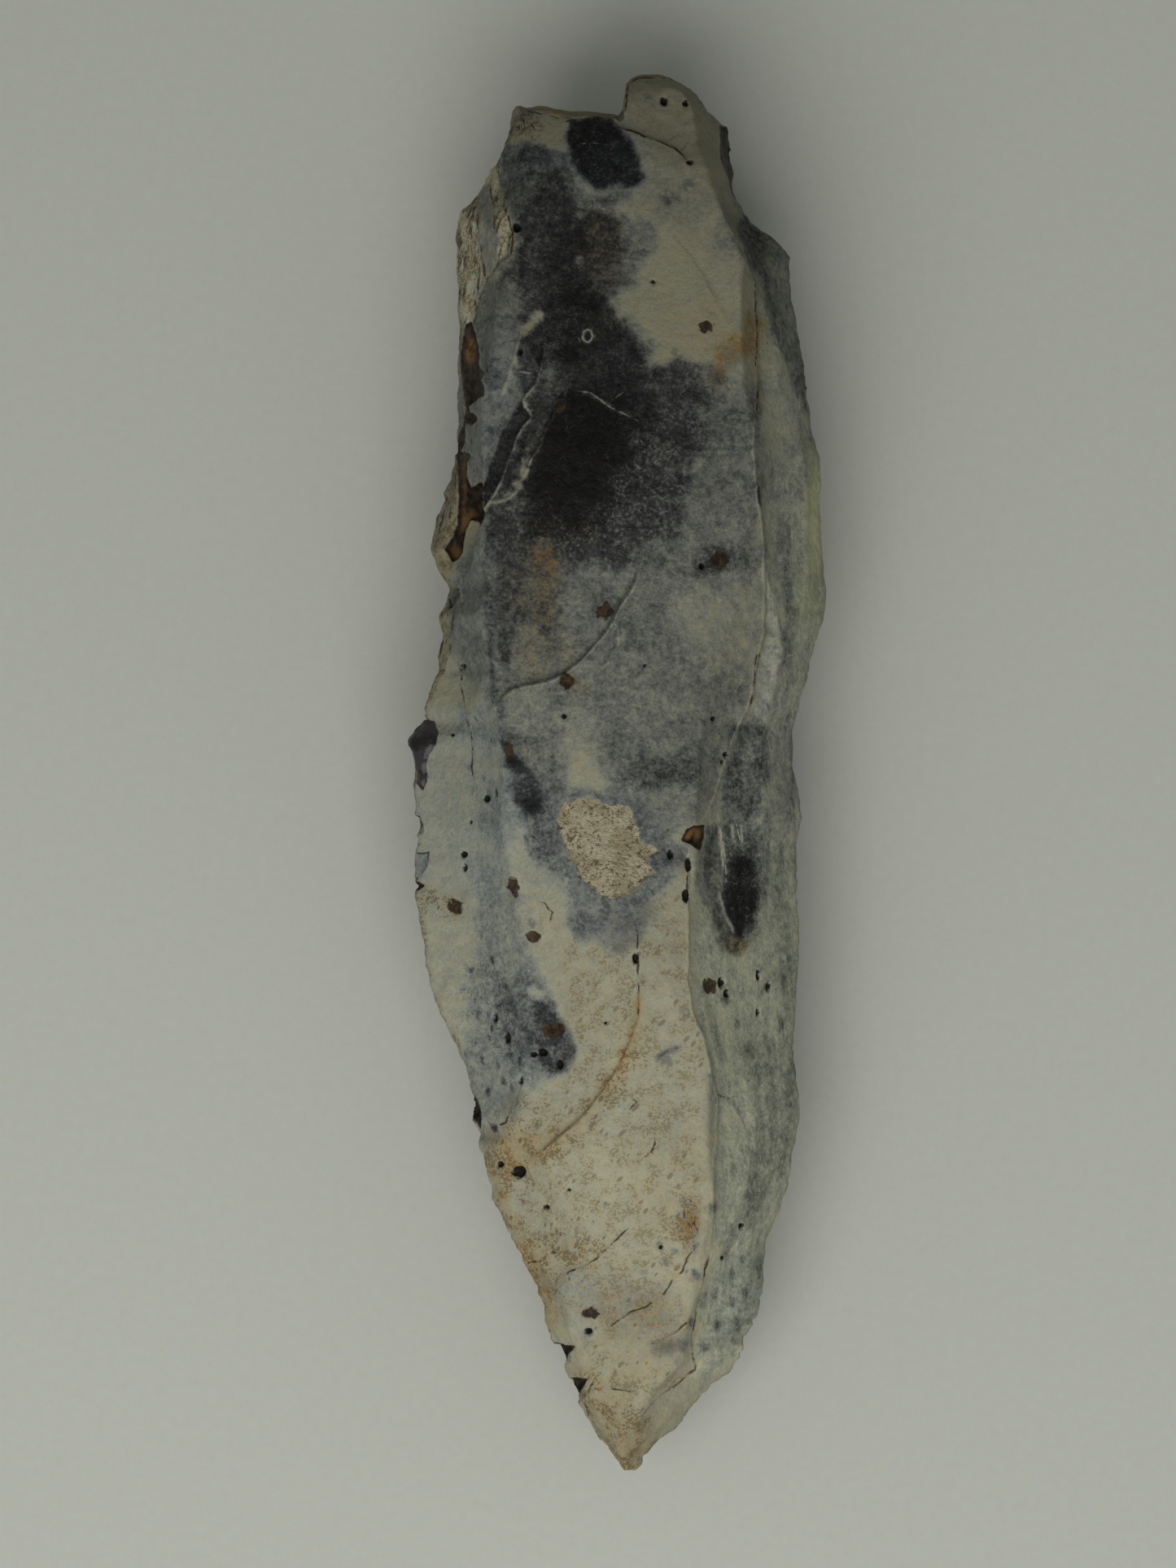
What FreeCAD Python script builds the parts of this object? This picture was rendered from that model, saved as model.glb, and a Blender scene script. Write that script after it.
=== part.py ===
import FreeCAD, Part
import math
import os

import Sketcher
from FreeCAD import Placement, Rotation, Vector

# Flint core axe: one knapped stone, in millimetres.
#
# The stone is made the way a knapper makes it. A rough blank is lofted through cross-sections whose
# corners run along the arrises, which are the ridges between flake scars. Flakes are then struck off
# it one after another, and each leaves a shallow hollow. The axe lies on its flatter side. Its length
# is along Y, its width along X, and its pointed butt is towards -Y.

NODE = "flint_core_axe"

# Driving dimensions. The spreadsheet holds them under these names.
SIZES = {
    "axe_length": 150.0,
    "axe_width": 45.0,
    "axe_thickness": 30.0,
    "knob_length": 5.4,
    "knob_width": 3.2,
    "knob_height": 5.0,
}

# The photograph's frame: the axe's middle and its extent there.
MIDDLE_COLUMN_PX = 759.0
MIDDLE_ROW_PX = 950.5
WIDTH_PX = 516.0
LENGTH_PX = 1715.0

# Rows of the photograph at which the blank has a cross-section, from the butt to the cutting end.
STATION_ROWS_PX = [
    1808, 1765, 1690, 1600, 1500, 1370, 1230, 1100, 930, 830,
    740, 676, 600, 480, 360, 316, 260, 200, 150, 93,
]

# The arrises go round the section from the left margin over the crest to the left keel. These are
# the columns at which each of them crosses those rows.
ARRIS_COLUMNS_PX = {
    "left_margin": [
        764, 732, 690, 661, 614, 578, 533, 509, 509, 536,
        546, 528, 547, 562, 561, 560, 567, 602, 630, 662,
    ],
    "left_shoulder": [
        767, 742, 714, 690, 660, 646, 650, 636, 606, 602,
        598, 597, 596, 592, 600, 606, 618, 626, 641, 672,
    ],
    "crest": [
        771, 764, 772, 768, 764, 770, 778, 762, 740, 748,
        758, 758, 755, 760, 768, 770, 766, 760, 756, 762,
    ],
    "right_shoulder": [
        776, 790, 834, 850, 868, 881, 853, 848, 890, 926,
        939, 938, 930, 929, 926, 908, 885, 864, 850, 812,
    ],
    "right_flank": [
        778, 812, 868, 908, 928, 935, 930, 940, 947, 966,
        984, 986, 985, 974, 938, 922, 900, 886, 876, 828,
    ],
    "right_margin": [
        780, 832, 898, 938, 956, 985, 981, 983, 980, 996,
        1015, 1014, 1009, 997, 978, 970, 922, 903, 888, 836,
    ],
    "right_keel": [
        778, 812, 860, 890, 905, 925, 925, 925, 925, 940,
        950, 950, 950, 935, 925, 915, 885, 870, 858, 820,
    ],
    "right_foot": [
        774, 784, 788, 796, 800, 806, 804, 800, 804, 812,
        816, 812, 806, 800, 798, 796, 792, 790, 790, 786,
    ],
    "left_foot": [
        770, 762, 758, 744, 732, 722, 716, 708, 712, 722,
        724, 718, 712, 708, 712, 714, 716, 718, 724, 734,
    ],
    "left_keel": [
        766, 742, 715, 690, 650, 620, 580, 560, 560, 580,
        588, 586, 588, 590, 590, 592, 605, 640, 656, 686,
    ],
}

# The height of each arris at those rows, as a share of the axe's thickness. The two feet dip under
# the ground, which later trims them to a flat to rest on.
ARRIS_HEIGHT_SHARES = {
    "left_margin": [
        0.38, 0.40, 0.46, 0.52, 0.56, 0.54, 0.52, 0.52, 0.53, 0.52,
        0.50, 0.47, 0.45, 0.46, 0.48, 0.48, 0.48, 0.50, 0.52, 0.50,
    ],
    "left_shoulder": [
        0.42, 0.49, 0.59, 0.68, 0.76, 0.82, 0.83, 0.85, 0.89, 0.90,
        0.90, 0.89, 0.88, 0.86, 0.83, 0.81, 0.77, 0.72, 0.66, 0.58,
    ],
    "crest": [
        0.46, 0.56, 0.67, 0.76, 0.85, 0.93, 0.98, 1.00, 0.99, 0.97,
        0.955, 0.945, 0.94, 0.92, 0.89, 0.87, 0.84, 0.79, 0.73, 0.63,
    ],
    "right_shoulder": [
        0.42, 0.51, 0.62, 0.71, 0.80, 0.87, 0.91, 0.93, 0.93, 0.92,
        0.91, 0.90, 0.90, 0.89, 0.88, 0.86, 0.84, 0.79, 0.74, 0.61,
    ],
    "right_flank": [
        0.38, 0.40, 0.44, 0.50, 0.56, 0.60, 0.62, 0.60, 0.60, 0.60,
        0.60, 0.60, 0.60, 0.62, 0.67, 0.68, 0.67, 0.63, 0.58, 0.53,
    ],
    "right_margin": [
        0.34, 0.33, 0.34, 0.36, 0.38, 0.40, 0.42, 0.42, 0.42, 0.42,
        0.42, 0.42, 0.42, 0.42, 0.42, 0.42, 0.42, 0.44, 0.44, 0.46,
    ],
    "right_keel": [
        0.30, 0.22, 0.18, 0.14, 0.12, 0.10, 0.10, 0.10, 0.10, 0.10,
        0.10, 0.10, 0.10, 0.10, 0.12, 0.14, 0.18, 0.22, 0.28, 0.34,
    ],
    "right_foot": [
        0.28, 0.16, 0.08, 0.02, -0.01, -0.02, -0.02, -0.02, -0.02, -0.02,
        -0.02, -0.02, -0.02, -0.01, 0.01, 0.03, 0.06, 0.10, 0.16, 0.28,
    ],
    "left_foot": [
        0.28, 0.16, 0.08, 0.02, -0.01, -0.02, -0.02, -0.02, -0.02, -0.02,
        -0.02, -0.02, -0.02, -0.01, 0.01, 0.03, 0.06, 0.10, 0.16, 0.28,
    ],
    "left_keel": [
        0.32, 0.24, 0.18, 0.14, 0.12, 0.10, 0.12, 0.12, 0.14, 0.14,
        0.14, 0.14, 0.14, 0.12, 0.14, 0.16, 0.18, 0.24, 0.30, 0.36,
    ],
}


# The flake scars in the order they were struck: the column and row of each one's deepest point, then
# half its length and half its width.
SCAR_PLACES_PX = {
    "under_left_1": (632, 292, 150, 96),
    "under_left_2": (606, 470, 160, 104),
    "under_left_3": (596, 690, 174, 116),
    "under_left_4": (588, 900, 160, 98),
    "under_left_5": (576, 1104, 180, 120),
    "under_left_6": (604, 1330, 166, 110),
    "under_left_7": (668, 1540, 140, 94),
    "under_right_1": (868, 300, 148, 98),
    "under_right_2": (912, 520, 176, 118),
    "under_right_3": (928, 740, 156, 100),
    "under_right_4": (912, 980, 182, 122),
    "under_right_5": (908, 1210, 160, 104),
    "under_right_6": (888, 1420, 156, 100),
    "under_right_7": (836, 1592, 128, 86),
    "right_long_scar": (966, 650, 240, 70),
    "right_upper_scar": (934, 400, 150, 52),
    "right_notch_scar": (914, 240, 84, 56),
    "right_flute": (900, 1050, 190, 66),
    "right_low_scar": (912, 1330, 170, 70),
    "right_butt_scar": (893, 1600, 125, 60),
    "right_tip_scar": (838, 1722, 85, 48),
    "left_bevel_scar": (584, 330, 120, 66),
    "left_corner_scar": (612, 205, 70, 46),
    "left_wave_scar": (570, 800, 90, 56),
    "left_middle_scar": (562, 985, 140, 80),
    "left_low_scar": (584, 1196, 165, 86),
    "left_butt_scar": (640, 1500, 130, 60),
    "upper_scar": (766, 360, 270, 172),
    "nub_scar": (826, 140, 62, 62),
    "middle_scar": (852, 800, 240, 92),
    "crease_scar": (668, 1266, 178, 120),
    "lower_scar": (800, 1370, 220, 98),
    "butt_scar": (768, 1592, 135, 88),
    "butt_end_scar": (758, 1716, 80, 48),
    "hinged_scar": (646, 704, 168, 110),
    "left_step_scar": (628, 524, 122, 30),
    "left_high_step_scar": (664, 492, 84, 20),
    "left_fresh_scar": (572, 480, 85, 40),
    "left_low_fresh_scar": (572, 625, 75, 44),
    "chalk_pit": (741, 1042, 58, 58),
}

# The old surface's height at that point, and the hollow's depth under it, as shares of the thickness.
SCAR_SHARES = {
    "under_left_1": (0.24, 0.036),
    "under_left_2": (0.22, 0.044),
    "under_left_3": (0.22, 0.040),
    "under_left_4": (0.23, 0.044),
    "under_left_5": (0.24, 0.050),
    "under_left_6": (0.22, 0.042),
    "under_left_7": (0.22, 0.040),
    "under_right_1": (0.23, 0.038),
    "under_right_2": (0.19, 0.046),
    "under_right_3": (0.19, 0.040),
    "under_right_4": (0.19, 0.048),
    "under_right_5": (0.19, 0.042),
    "under_right_6": (0.18, 0.040),
    "under_right_7": (0.16, 0.036),
    "right_long_scar": (0.72, 0.040),
    "right_upper_scar": (0.78, 0.028),
    "right_notch_scar": (0.58, 0.050),
    "right_flute": (0.76, 0.036),
    "right_low_scar": (0.74, 0.036),
    "right_butt_scar": (0.58, 0.040),
    "right_tip_scar": (0.48, 0.030),
    "left_bevel_scar": (0.66, 0.036),
    "left_corner_scar": (0.64, 0.020),
    "left_wave_scar": (0.72, 0.028),
    "left_middle_scar": (0.705, 0.034),
    "left_low_scar": (0.67, 0.038),
    "left_butt_scar": (0.67, 0.030),
    "upper_scar": (0.872, 0.040),
    "nub_scar": (0.735, 0.026),
    "middle_scar": (0.930, 0.020),
    "crease_scar": (0.865, 0.050),
    "lower_scar": (0.910, 0.026),
    "butt_scar": (0.745, 0.026),
    "butt_end_scar": (0.635, 0.022),
    "hinged_scar": (0.925, 0.034),
    "left_step_scar": (0.875, 0.026),
    "left_high_step_scar": (0.900, 0.016),
    "left_fresh_scar": (0.68, 0.040),
    "left_low_fresh_scar": (0.68, 0.050),
    "chalk_pit": (0.985, 0.012),
}

# How each scar's face is turned: its lean to the right of straight up, its pitch towards the cutting
# end, and the heading of its long axis across the face, from the axe's width towards its length.
SCAR_TURNS_DEG = {
    "under_left_1": (-150, 8, 14),
    "under_left_2": (-148, 4, -12),
    "under_left_3": (-149, 0, 8),
    "under_left_4": (-146, -2, -4),
    "under_left_5": (-146, 0, 18),
    "under_left_6": (-145, -6, -10),
    "under_left_7": (-143, -14, 14),
    "under_right_1": (150, 7, -16),
    "under_right_2": (147, 3, 10),
    "under_right_3": (149, 0, -8),
    "under_right_4": (146, -2, -14),
    "under_right_5": (147, -3, 12),
    "under_right_6": (145, -7, -8),
    "under_right_7": (148, -15, 8),
    "right_long_scar": (62, 0, 90),
    "right_upper_scar": (60, 6, 70),
    "right_notch_scar": (78, 12, 70),
    "right_flute": (48, 0, 96),
    "right_low_scar": (52, -4, 84),
    "right_butt_scar": (48, -16, 66),
    "right_tip_scar": (44, -26, 46),
    "left_bevel_scar": (-66, 0, 90),
    "left_corner_scar": (-54, 14, 60),
    "left_wave_scar": (-66, -2, 98),
    "left_middle_scar": (-47, 0, 94),
    "left_low_scar": (-42, -3, 104),
    "left_butt_scar": (-32, -10, 116),
    "upper_scar": (-2, 7, 92),
    "nub_scar": (6, 16, 0),
    "middle_scar": (5, -1, 92),
    "crease_scar": (-20, -4, 60),
    "lower_scar": (4, -6, 76),
    "butt_scar": (-1, -12, 72),
    "butt_end_scar": (-4, -18, 78),
    "hinged_scar": (-6, -2, 48),
    "left_step_scar": (-12, 0, 62),
    "left_high_step_scar": (-2, 0, 60),
    "left_fresh_scar": (-70, 0, 92),
    "left_low_fresh_scar": (-62, 0, 86),
    "chalk_pit": (0, 0, 0),
}

# Small round bites out of the margins: column and row, radius, and height as a share.
BITE_PLACES_PX = {
    "bite_wave": (560, 735),
    "bite_below_knob": (506, 1015),
    "bite_middle": (505, 1088),
    "bite_lower": (574, 1368),
    "bite_butt": (684, 1664),
    "bite_tip": (702, 1706),
}
BITE_RADII_PX = {
    "bite_wave": 13,
    "bite_below_knob": 10,
    "bite_middle": 9,
    "bite_lower": 14,
    "bite_butt": 15,
    "bite_tip": 16,
}
BITE_HEIGHT_SHARES = {
    "bite_wave": 0.56,
    "bite_below_knob": 0.54,
    "bite_middle": 0.54,
    "bite_lower": 0.55,
    "bite_butt": 0.54,
    "bite_tip": 0.51,
}

# The dark nodule on the left margin.
KNOB_PLACE_PX = (519, 916)
KNOB_HEIGHT_SHARE = 0.54

# The step at the cutting end, left of the nub: its inner corner and how it is turned.
STEP_CORNER_PX = (764, 149)
STEP_HEIGHT_SHARE = 0.72
STEP_TURN_DEG = -6.0
STEP_LEAN_DEG = 4.0

doc = FreeCAD.newDocument("flint_core_axe")
sheet = doc.addObject("Spreadsheet::Sheet", "sizes")
for line, (name, value) in enumerate(SIZES.items(), start=1):
    sheet.set(f"A{line}", name)
    sheet.set(f"B{line}", str(value))
    sheet.setAlias(f"B{line}", name)
doc.recompute()


def recompute_and_check():
    """Brings the document up to date, and stops if any object in it failed."""
    doc.recompute()
    failed = [thing.Name for thing in doc.Objects if {"Invalid", "Error"} & set(thing.State)]
    if failed:
        raise RuntimeError(f"these objects failed: {', '.join(failed)}")


def across(column_px):
    """An expression for a place across the axe, from a column of the photograph."""
    return f"sizes.axe_width * {(column_px - MIDDLE_COLUMN_PX) / WIDTH_PX:.5f}"


def along(row_px):
    """An expression for a place along the axe, from a row of the photograph."""
    return f"sizes.axe_length * {(MIDDLE_ROW_PX - row_px) / LENGTH_PX:.5f}"


def reach(pixels):
    """An expression for a length on the stone, from a length in the photograph."""
    return f"sizes.axe_length * {pixels / LENGTH_PX:.5f}"


def up(share):
    """An expression for a height or a depth, from a share of the thickness."""
    return f"sizes.axe_thickness * {share:.5f}"


def place(feature, x, y, z):
    """Binds a feature's position to the sheet."""
    for axis, expression in zip("xyz", (x, y, z)):
        feature.setExpression(f"Placement.Base.{axis}", expression)


def add_section(body, plane, station):
    """A closed polygon across the blank, with one corner on each arris."""
    sketch = body.newObject("Sketcher::SketchObject", f"section_{station + 1}")
    sketch.AttachmentSupport = [(plane, "")]
    sketch.MapMode = "FlatFace"
    # The plane faces -Y, so the sketch moves along its own normal by the opposite of its Y.
    sketch.setExpression("AttachmentOffset.Base.z", f"-({along(STATION_ROWS_PX[station])})")
    corners = []
    for arris, columns_px in ARRIS_COLUMNS_PX.items():
        x = SIZES["axe_width"] * (columns_px[station] - MIDDLE_COLUMN_PX) / WIDTH_PX
        z = SIZES["axe_thickness"] * ARRIS_HEIGHT_SHARES[arris][station]
        corners.append(Vector(x, z, 0))
    for corner, following in zip(corners, corners[1:] + corners[:1]):
        sketch.addGeometry(Part.LineSegment(corner, following), False)
    for side in range(len(corners)):
        following = (side + 1) % len(corners)
        sketch.addConstraint(Sketcher.Constraint("Coincident", side, 2, following, 1))
    for side, (arris, columns_px) in enumerate(ARRIS_COLUMNS_PX.items()):
        corner = corners[side]
        width_tie = sketch.addConstraint(Sketcher.Constraint("DistanceX", -1, 1, side, 1, corner.x))
        height_tie = sketch.addConstraint(Sketcher.Constraint("DistanceY", -1, 1, side, 1, corner.y))
        sketch.setExpression(f"Constraints[{width_tie}]", across(columns_px[station]))
        sketch.setExpression(f"Constraints[{height_tie}]", up(ARRIS_HEIGHT_SHARES[arris][station]))
    return sketch


def loft_blank(body):
    """The unworked blank, with one smooth face between each two arrises."""
    plane = next(feature for feature in body.Origin.OriginFeatures if feature.Role == "XZ_Plane")
    sections = [add_section(body, plane, station) for station in range(len(STATION_ROWS_PX))]
    blank = body.newObject("PartDesign::AdditiveLoft", "blank")
    blank.Profile = sections[0]
    blank.Sections = sections[1:]
    blank.Ruled = False


def raise_knob(body):
    """A dark nodule that stands out of the left margin."""
    knob = body.newObject("PartDesign::AdditiveEllipsoid", "margin_knob")
    knob.setExpression("Radius1", "sizes.knob_height / 2")
    knob.setExpression("Radius2", "sizes.knob_width / 2")
    knob.setExpression("Radius3", "sizes.knob_length / 2")
    column_px, row_px = KNOB_PLACE_PX
    place(knob, across(column_px), along(row_px), up(KNOB_HEIGHT_SHARE))


def strike_flake(body, name):
    """A shallow hollow. An oval one is pressed in by the outside of a large ring, a round one by a
    ball. An oval one has to be at least half as long again as it is wide, or its ring closes up.
    """
    column_px, row_px, half_length_px, half_width_px = SCAR_PLACES_PX[name]
    height_share, depth_share = SCAR_SHARES[name]
    lean, pitch, heading = (math.radians(angle) for angle in SCAR_TURNS_DEG[name])
    normal = Vector(math.sin(lean) * math.cos(pitch), math.sin(pitch), math.cos(lean) * math.cos(pitch))
    lengthwise = Vector(0, 1, 0) - normal * normal.y
    lengthwise.normalize()
    long_axis = lengthwise.cross(normal) * math.cos(heading) + lengthwise * math.sin(heading)

    depth = up(depth_share)
    long_radius = f"(({reach(half_length_px)})^2 + ({depth})^2) / (2 * {depth})"
    short_radius = f"(({reach(half_width_px)})^2 + ({depth})^2) / (2 * {depth})"
    if half_length_px == half_width_px:
        striker = body.newObject("PartDesign::SubtractiveSphere", name)
        striker.setExpression("Radius", long_radius)
    else:
        striker = body.newObject("PartDesign::SubtractiveTorus", name)
        striker.setExpression("Radius2", short_radius)
        striker.setExpression("Radius1", f"{long_radius} - {short_radius}")
    striker.Placement = Placement(Vector(), Rotation(normal, Vector(), normal.cross(long_axis), "ZXY"))

    surface = (across(column_px), along(row_px), up(height_share))
    lift = f"({long_radius} - {depth})"
    place(striker, *(f"{start} + {lift} * {part:.6f}" for start, part in zip(surface, normal)))


def bite_margin(body, name):
    """A small round bite out of a margin."""
    bite = body.newObject("PartDesign::SubtractiveSphere", name)
    bite.setExpression("Radius", reach(BITE_RADII_PX[name]))
    column_px, row_px = BITE_PLACES_PX[name]
    place(bite, across(column_px), along(row_px), up(BITE_HEIGHT_SHARES[name]))


def cut_end_step(body):
    """The step left of the nub. Its end face leans outwards as it goes down."""
    step = body.newObject("PartDesign::SubtractiveBox", "end_step")
    for side in ("Length", "Width", "Height"):
        step.setExpression(side, "sizes.axe_width")
    quarter_turn = Rotation(Vector(0, 0, 1), 90)
    lean = Rotation(Vector(1, 0, 0), STEP_LEAN_DEG)
    turn = Rotation(Vector(0, 0, 1), STEP_TURN_DEG) * lean * quarter_turn
    step.Placement = Placement(Vector(), turn)
    # The box reaches as far below its corner as above it, so its base is half its height lower.
    upright = turn.multVec(Vector(0, 0, 1))
    column_px, row_px = STEP_CORNER_PX
    corner = (across(column_px), along(row_px), up(STEP_HEIGHT_SHARE))
    place(step, *(f"{start} - sizes.axe_width / 2 * {part:.6f}" for start, part in zip(corner, upright)))


def trim_rest(body):
    """Everything under the ground plane is cut away, which leaves a flat for the axe to rest on."""
    ground = body.newObject("PartDesign::SubtractiveBox", "resting_flat")
    ground.setExpression("Length", "2 * sizes.axe_width")
    ground.setExpression("Width", "2 * sizes.axe_length")
    ground.setExpression("Height", "sizes.axe_thickness")
    place(ground, "-sizes.axe_width", "-sizes.axe_length", "-sizes.axe_thickness")


def make_axe():
    """The whole stone, with its origin under the middle of its bounding box."""
    body = doc.addObject("PartDesign::Body", NODE)
    body.Label = NODE
    loft_blank(body)
    raise_knob(body)
    for name in SCAR_PLACES_PX:
        strike_flake(body, name)
    for name in BITE_PLACES_PX:
        bite_margin(body, name)
    cut_end_step(body)
    trim_rest(body)
    recompute_and_check()
    box = body.Shape.optimalBoundingBox(False, False)
    body.Placement = Placement(Vector(-box.Center.x, -box.Center.y, -box.ZMin), Rotation())
    recompute_and_check()
    return body


axe = make_axe()
if axe.Shape.isNull() or not axe.Shape.isValid() or len(axe.Shape.Solids) != 1:
    raise RuntimeError("the axe isn't one valid solid")

os.makedirs("parts", exist_ok=True)
axe.Shape.exportStep(f"parts/{NODE}.step")
extent = axe.Shape.optimalBoundingBox(False, False)
print(f"{NODE}: {extent.XLength:.2f} x {extent.YLength:.2f} x {extent.ZLength:.2f} mm,"
      f" {axe.Shape.Volume:.0f} cubic mm, {len(axe.Shape.Faces)} faces")
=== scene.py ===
# %% [markdown]
# # A flint core axe
#
# The real object is one block of flint, knapped to a long tool with a blunt end and a point. Weather
# has bleached its dark glassy inside to blue-grey and cream, which is called patina. This lesson
# starts from the plain solid of the stone and gives it the crisp scars, chips and colours of the
# real one. The solid fixes the size and the main forms, so nothing here moves or scales the whole.

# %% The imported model
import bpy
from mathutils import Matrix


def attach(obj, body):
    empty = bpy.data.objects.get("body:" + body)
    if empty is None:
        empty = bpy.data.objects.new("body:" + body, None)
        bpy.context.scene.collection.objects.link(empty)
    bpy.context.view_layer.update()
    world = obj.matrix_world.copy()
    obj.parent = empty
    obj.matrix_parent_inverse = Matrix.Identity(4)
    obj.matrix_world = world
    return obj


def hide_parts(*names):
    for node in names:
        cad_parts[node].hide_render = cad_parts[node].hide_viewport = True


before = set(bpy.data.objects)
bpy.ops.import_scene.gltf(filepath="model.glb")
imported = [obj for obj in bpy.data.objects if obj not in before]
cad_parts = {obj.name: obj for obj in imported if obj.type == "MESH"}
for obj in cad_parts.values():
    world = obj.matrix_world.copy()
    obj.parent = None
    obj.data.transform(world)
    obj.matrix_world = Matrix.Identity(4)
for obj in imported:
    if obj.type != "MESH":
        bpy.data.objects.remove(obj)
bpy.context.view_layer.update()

# %% Tools for the whole lesson
import itertools
import math

import bmesh
import bpy
import numpy as np
from mathutils import Vector
from mathutils.bvhtree import BVHTree

MM = 0.001
collection = bpy.context.scene.collection

# %% [markdown]
# ## From the photograph to the stone
#
# The photograph looks straight down on the stone, so a column and a row of it say where a detail
# lies across and along. A detail could be placed in millimetres instead. Columns and rows were
# chosen because they can be read off the picture and checked against it.

# %% Columns and rows
MIDDLE_COLUMN = 759.0
MIDDLE_ROW = 950.5
COLUMN_MM = 45.0 / 516.0
ROW_MM = 150.0 / 1715.0
PHOTO_COLUMNS = 1445
PHOTO_ROWS = 1927


def photo_places(points):
    """The column and row at which each point of the stone shows."""
    columns = MIDDLE_COLUMN + points[:, 0] / MM / COLUMN_MM
    rows = MIDDLE_ROW - points[:, 1] / MM / ROW_MM
    return np.column_stack([columns, rows])


print("one pixel of the photograph, mm:", round(COLUMN_MM, 4))

# %% [markdown]
# ## The camera
#
# The photograph shows no side walls at either end, so it was taken from straight above and from far
# away for the size of the stone. A long lens 1.6 m up does the same. Its frame is as wide at the
# height of the stone's margin as the photograph's frame is there.

# %% A long lens, straight above
CAMERA_HEIGHT_MM = 1600.0
MARGIN_HEIGHT_MM = 14.0
FRAME_LENGTH_MM = PHOTO_ROWS * ROW_MM
SENSOR_MM = 36.0
SIGHT_M = 50.0

camera_data = bpy.data.cameras.new("photo_camera")
camera_data.sensor_width = SENSOR_MM
camera_data.lens = SENSOR_MM * (CAMERA_HEIGHT_MM - MARGIN_HEIGHT_MM) / FRAME_LENGTH_MM
camera_data.clip_end = SIGHT_M
camera = bpy.data.objects.new("photo_camera", camera_data)
camera.location = (
    (PHOTO_COLUMNS / 2 - MIDDLE_COLUMN) * COLUMN_MM * MM,
    (MIDDLE_ROW - PHOTO_ROWS / 2) * ROW_MM * MM,
    CAMERA_HEIGHT_MM * MM,
)
collection.objects.link(camera)
bpy.context.scene.camera = camera
print("lens, mm:", round(camera_data.lens, 1))

# %% [markdown]
# ## An even skin for sculpting
#
# The solid's mesh has long thin triangles, which fold when their points are moved. Its copy is
# welded and given an even skin by a voxel remesh, as clay gets before it is modelled. The upper side
# is divided once more, because the photograph shows it, and every point is then laid back onto the
# solid, which brings the sharp ridges back.

# %% Weld, remesh and divide
SKIN_MM = 0.86
SAME_POINT_M = 1e-6
UPPER_SIDE = -0.1


def new_object(name, mesh):
    """A bmesh as an object of the scene. The bmesh itself is freed."""
    data = bpy.data.meshes.new(name)
    mesh.to_mesh(data)
    mesh.free()
    thing = bpy.data.objects.new(name, data)
    collection.objects.link(thing)
    return thing


def welded_copy(node):
    """A bmesh of a solid's triangles with the points that lie on each other merged."""
    mesh = bmesh.new()
    mesh.from_mesh(node.data)
    bmesh.ops.remove_doubles(mesh, verts=mesh.verts, dist=SAME_POINT_M)
    return mesh


def remeshed(mesh, size_mm):
    """An even skin of squares of about that size in place of a mesh, which is freed."""
    holder = new_object("skin_holder", mesh)
    holder_mesh = holder.data
    remesh = holder.modifiers.new("even_skin", "REMESH")
    remesh.mode = "VOXEL"
    remesh.voxel_size = size_mm * MM
    graph = bpy.context.evaluated_depsgraph_get()
    skin_mesh = bpy.data.meshes.new_from_object(holder.evaluated_get(graph))
    bpy.data.objects.remove(holder)
    bpy.data.meshes.remove(holder_mesh)
    skin = bmesh.new()
    skin.from_mesh(skin_mesh)
    bpy.data.meshes.remove(skin_mesh)
    return skin


def divide_faces(mesh, faces):
    """Each of these faces is cut in four."""
    edges = list({edge for face in faces for edge in face.edges})
    bmesh.ops.subdivide_edges(mesh, edges=edges, cuts=1, use_grid_fill=True)


def lay_onto(mesh, tree):
    """Each point goes to the nearest place on the solid."""
    for vert in mesh.verts:
        vert.co = tree.find_nearest(vert.co)[0]


solid = welded_copy(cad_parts["flint_core_axe"])
solid_tree = BVHTree.FromBMesh(solid)
solid_area = sum(face.calc_area() for face in solid.faces)
print("area of the solid, square mm:", round(solid_area / MM / MM))
stone_mesh = remeshed(solid, SKIN_MM)
print("points in the even skin:", len(stone_mesh.verts))
stone_mesh.normal_update()
divide_faces(stone_mesh, [face for face in stone_mesh.faces if face.normal.z > UPPER_SIDE])
lay_onto(stone_mesh, solid_tree)
print("points with the upper side divided:", len(stone_mesh.verts))

# %% [markdown]
# ## Lines, areas and noise
#
# Every scar edge and every patch of colour is a line or an area that was read off the photograph.
# Three small tools do the rest: the distance to a line, the depth inside an outline, and a seeded
# noise that keeps edges from looking drawn.

# %% Distances to lines and outlines
FAR_PX = 1e9
NOT_INSIDE_PX = -99.0


def smooth_step(values, low, high):
    """A soft ramp from 0 at low to 1 at high."""
    share = np.clip((values - low) / (high - low), 0, 1)
    return share * share * (3 - 2 * share)


def line_distance(places, line):
    """The distance to a broken line in pixels, the side of it (1 on the right of someone who walks
    along it) and the share of the way along it."""
    nearest = np.full(len(places), FAR_PX)
    side = np.ones(len(places))
    way = np.zeros(len(places))
    corners = np.array(line, float)
    lengths = np.hypot(*(corners[1:] - corners[:-1]).T)
    walked = np.concatenate([[0], np.cumsum(lengths)]) / lengths.sum()
    for number, (start, end) in enumerate(zip(corners, corners[1:])):
        step = end - start
        share = np.clip((places - start) @ step / (step @ step), 0, 1)
        gap = places - start - share[:, None] * step
        distance = np.hypot(gap[:, 0], gap[:, 1])
        nearer = distance < nearest
        nearest[nearer] = distance[nearer]
        side[nearer] = np.where(step[0] * gap[nearer, 1] > step[1] * gap[nearer, 0], 1, -1)
        way[nearer] = walked[number] + share[nearer] * (walked[number + 1] - walked[number])
    return nearest, side, way


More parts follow.
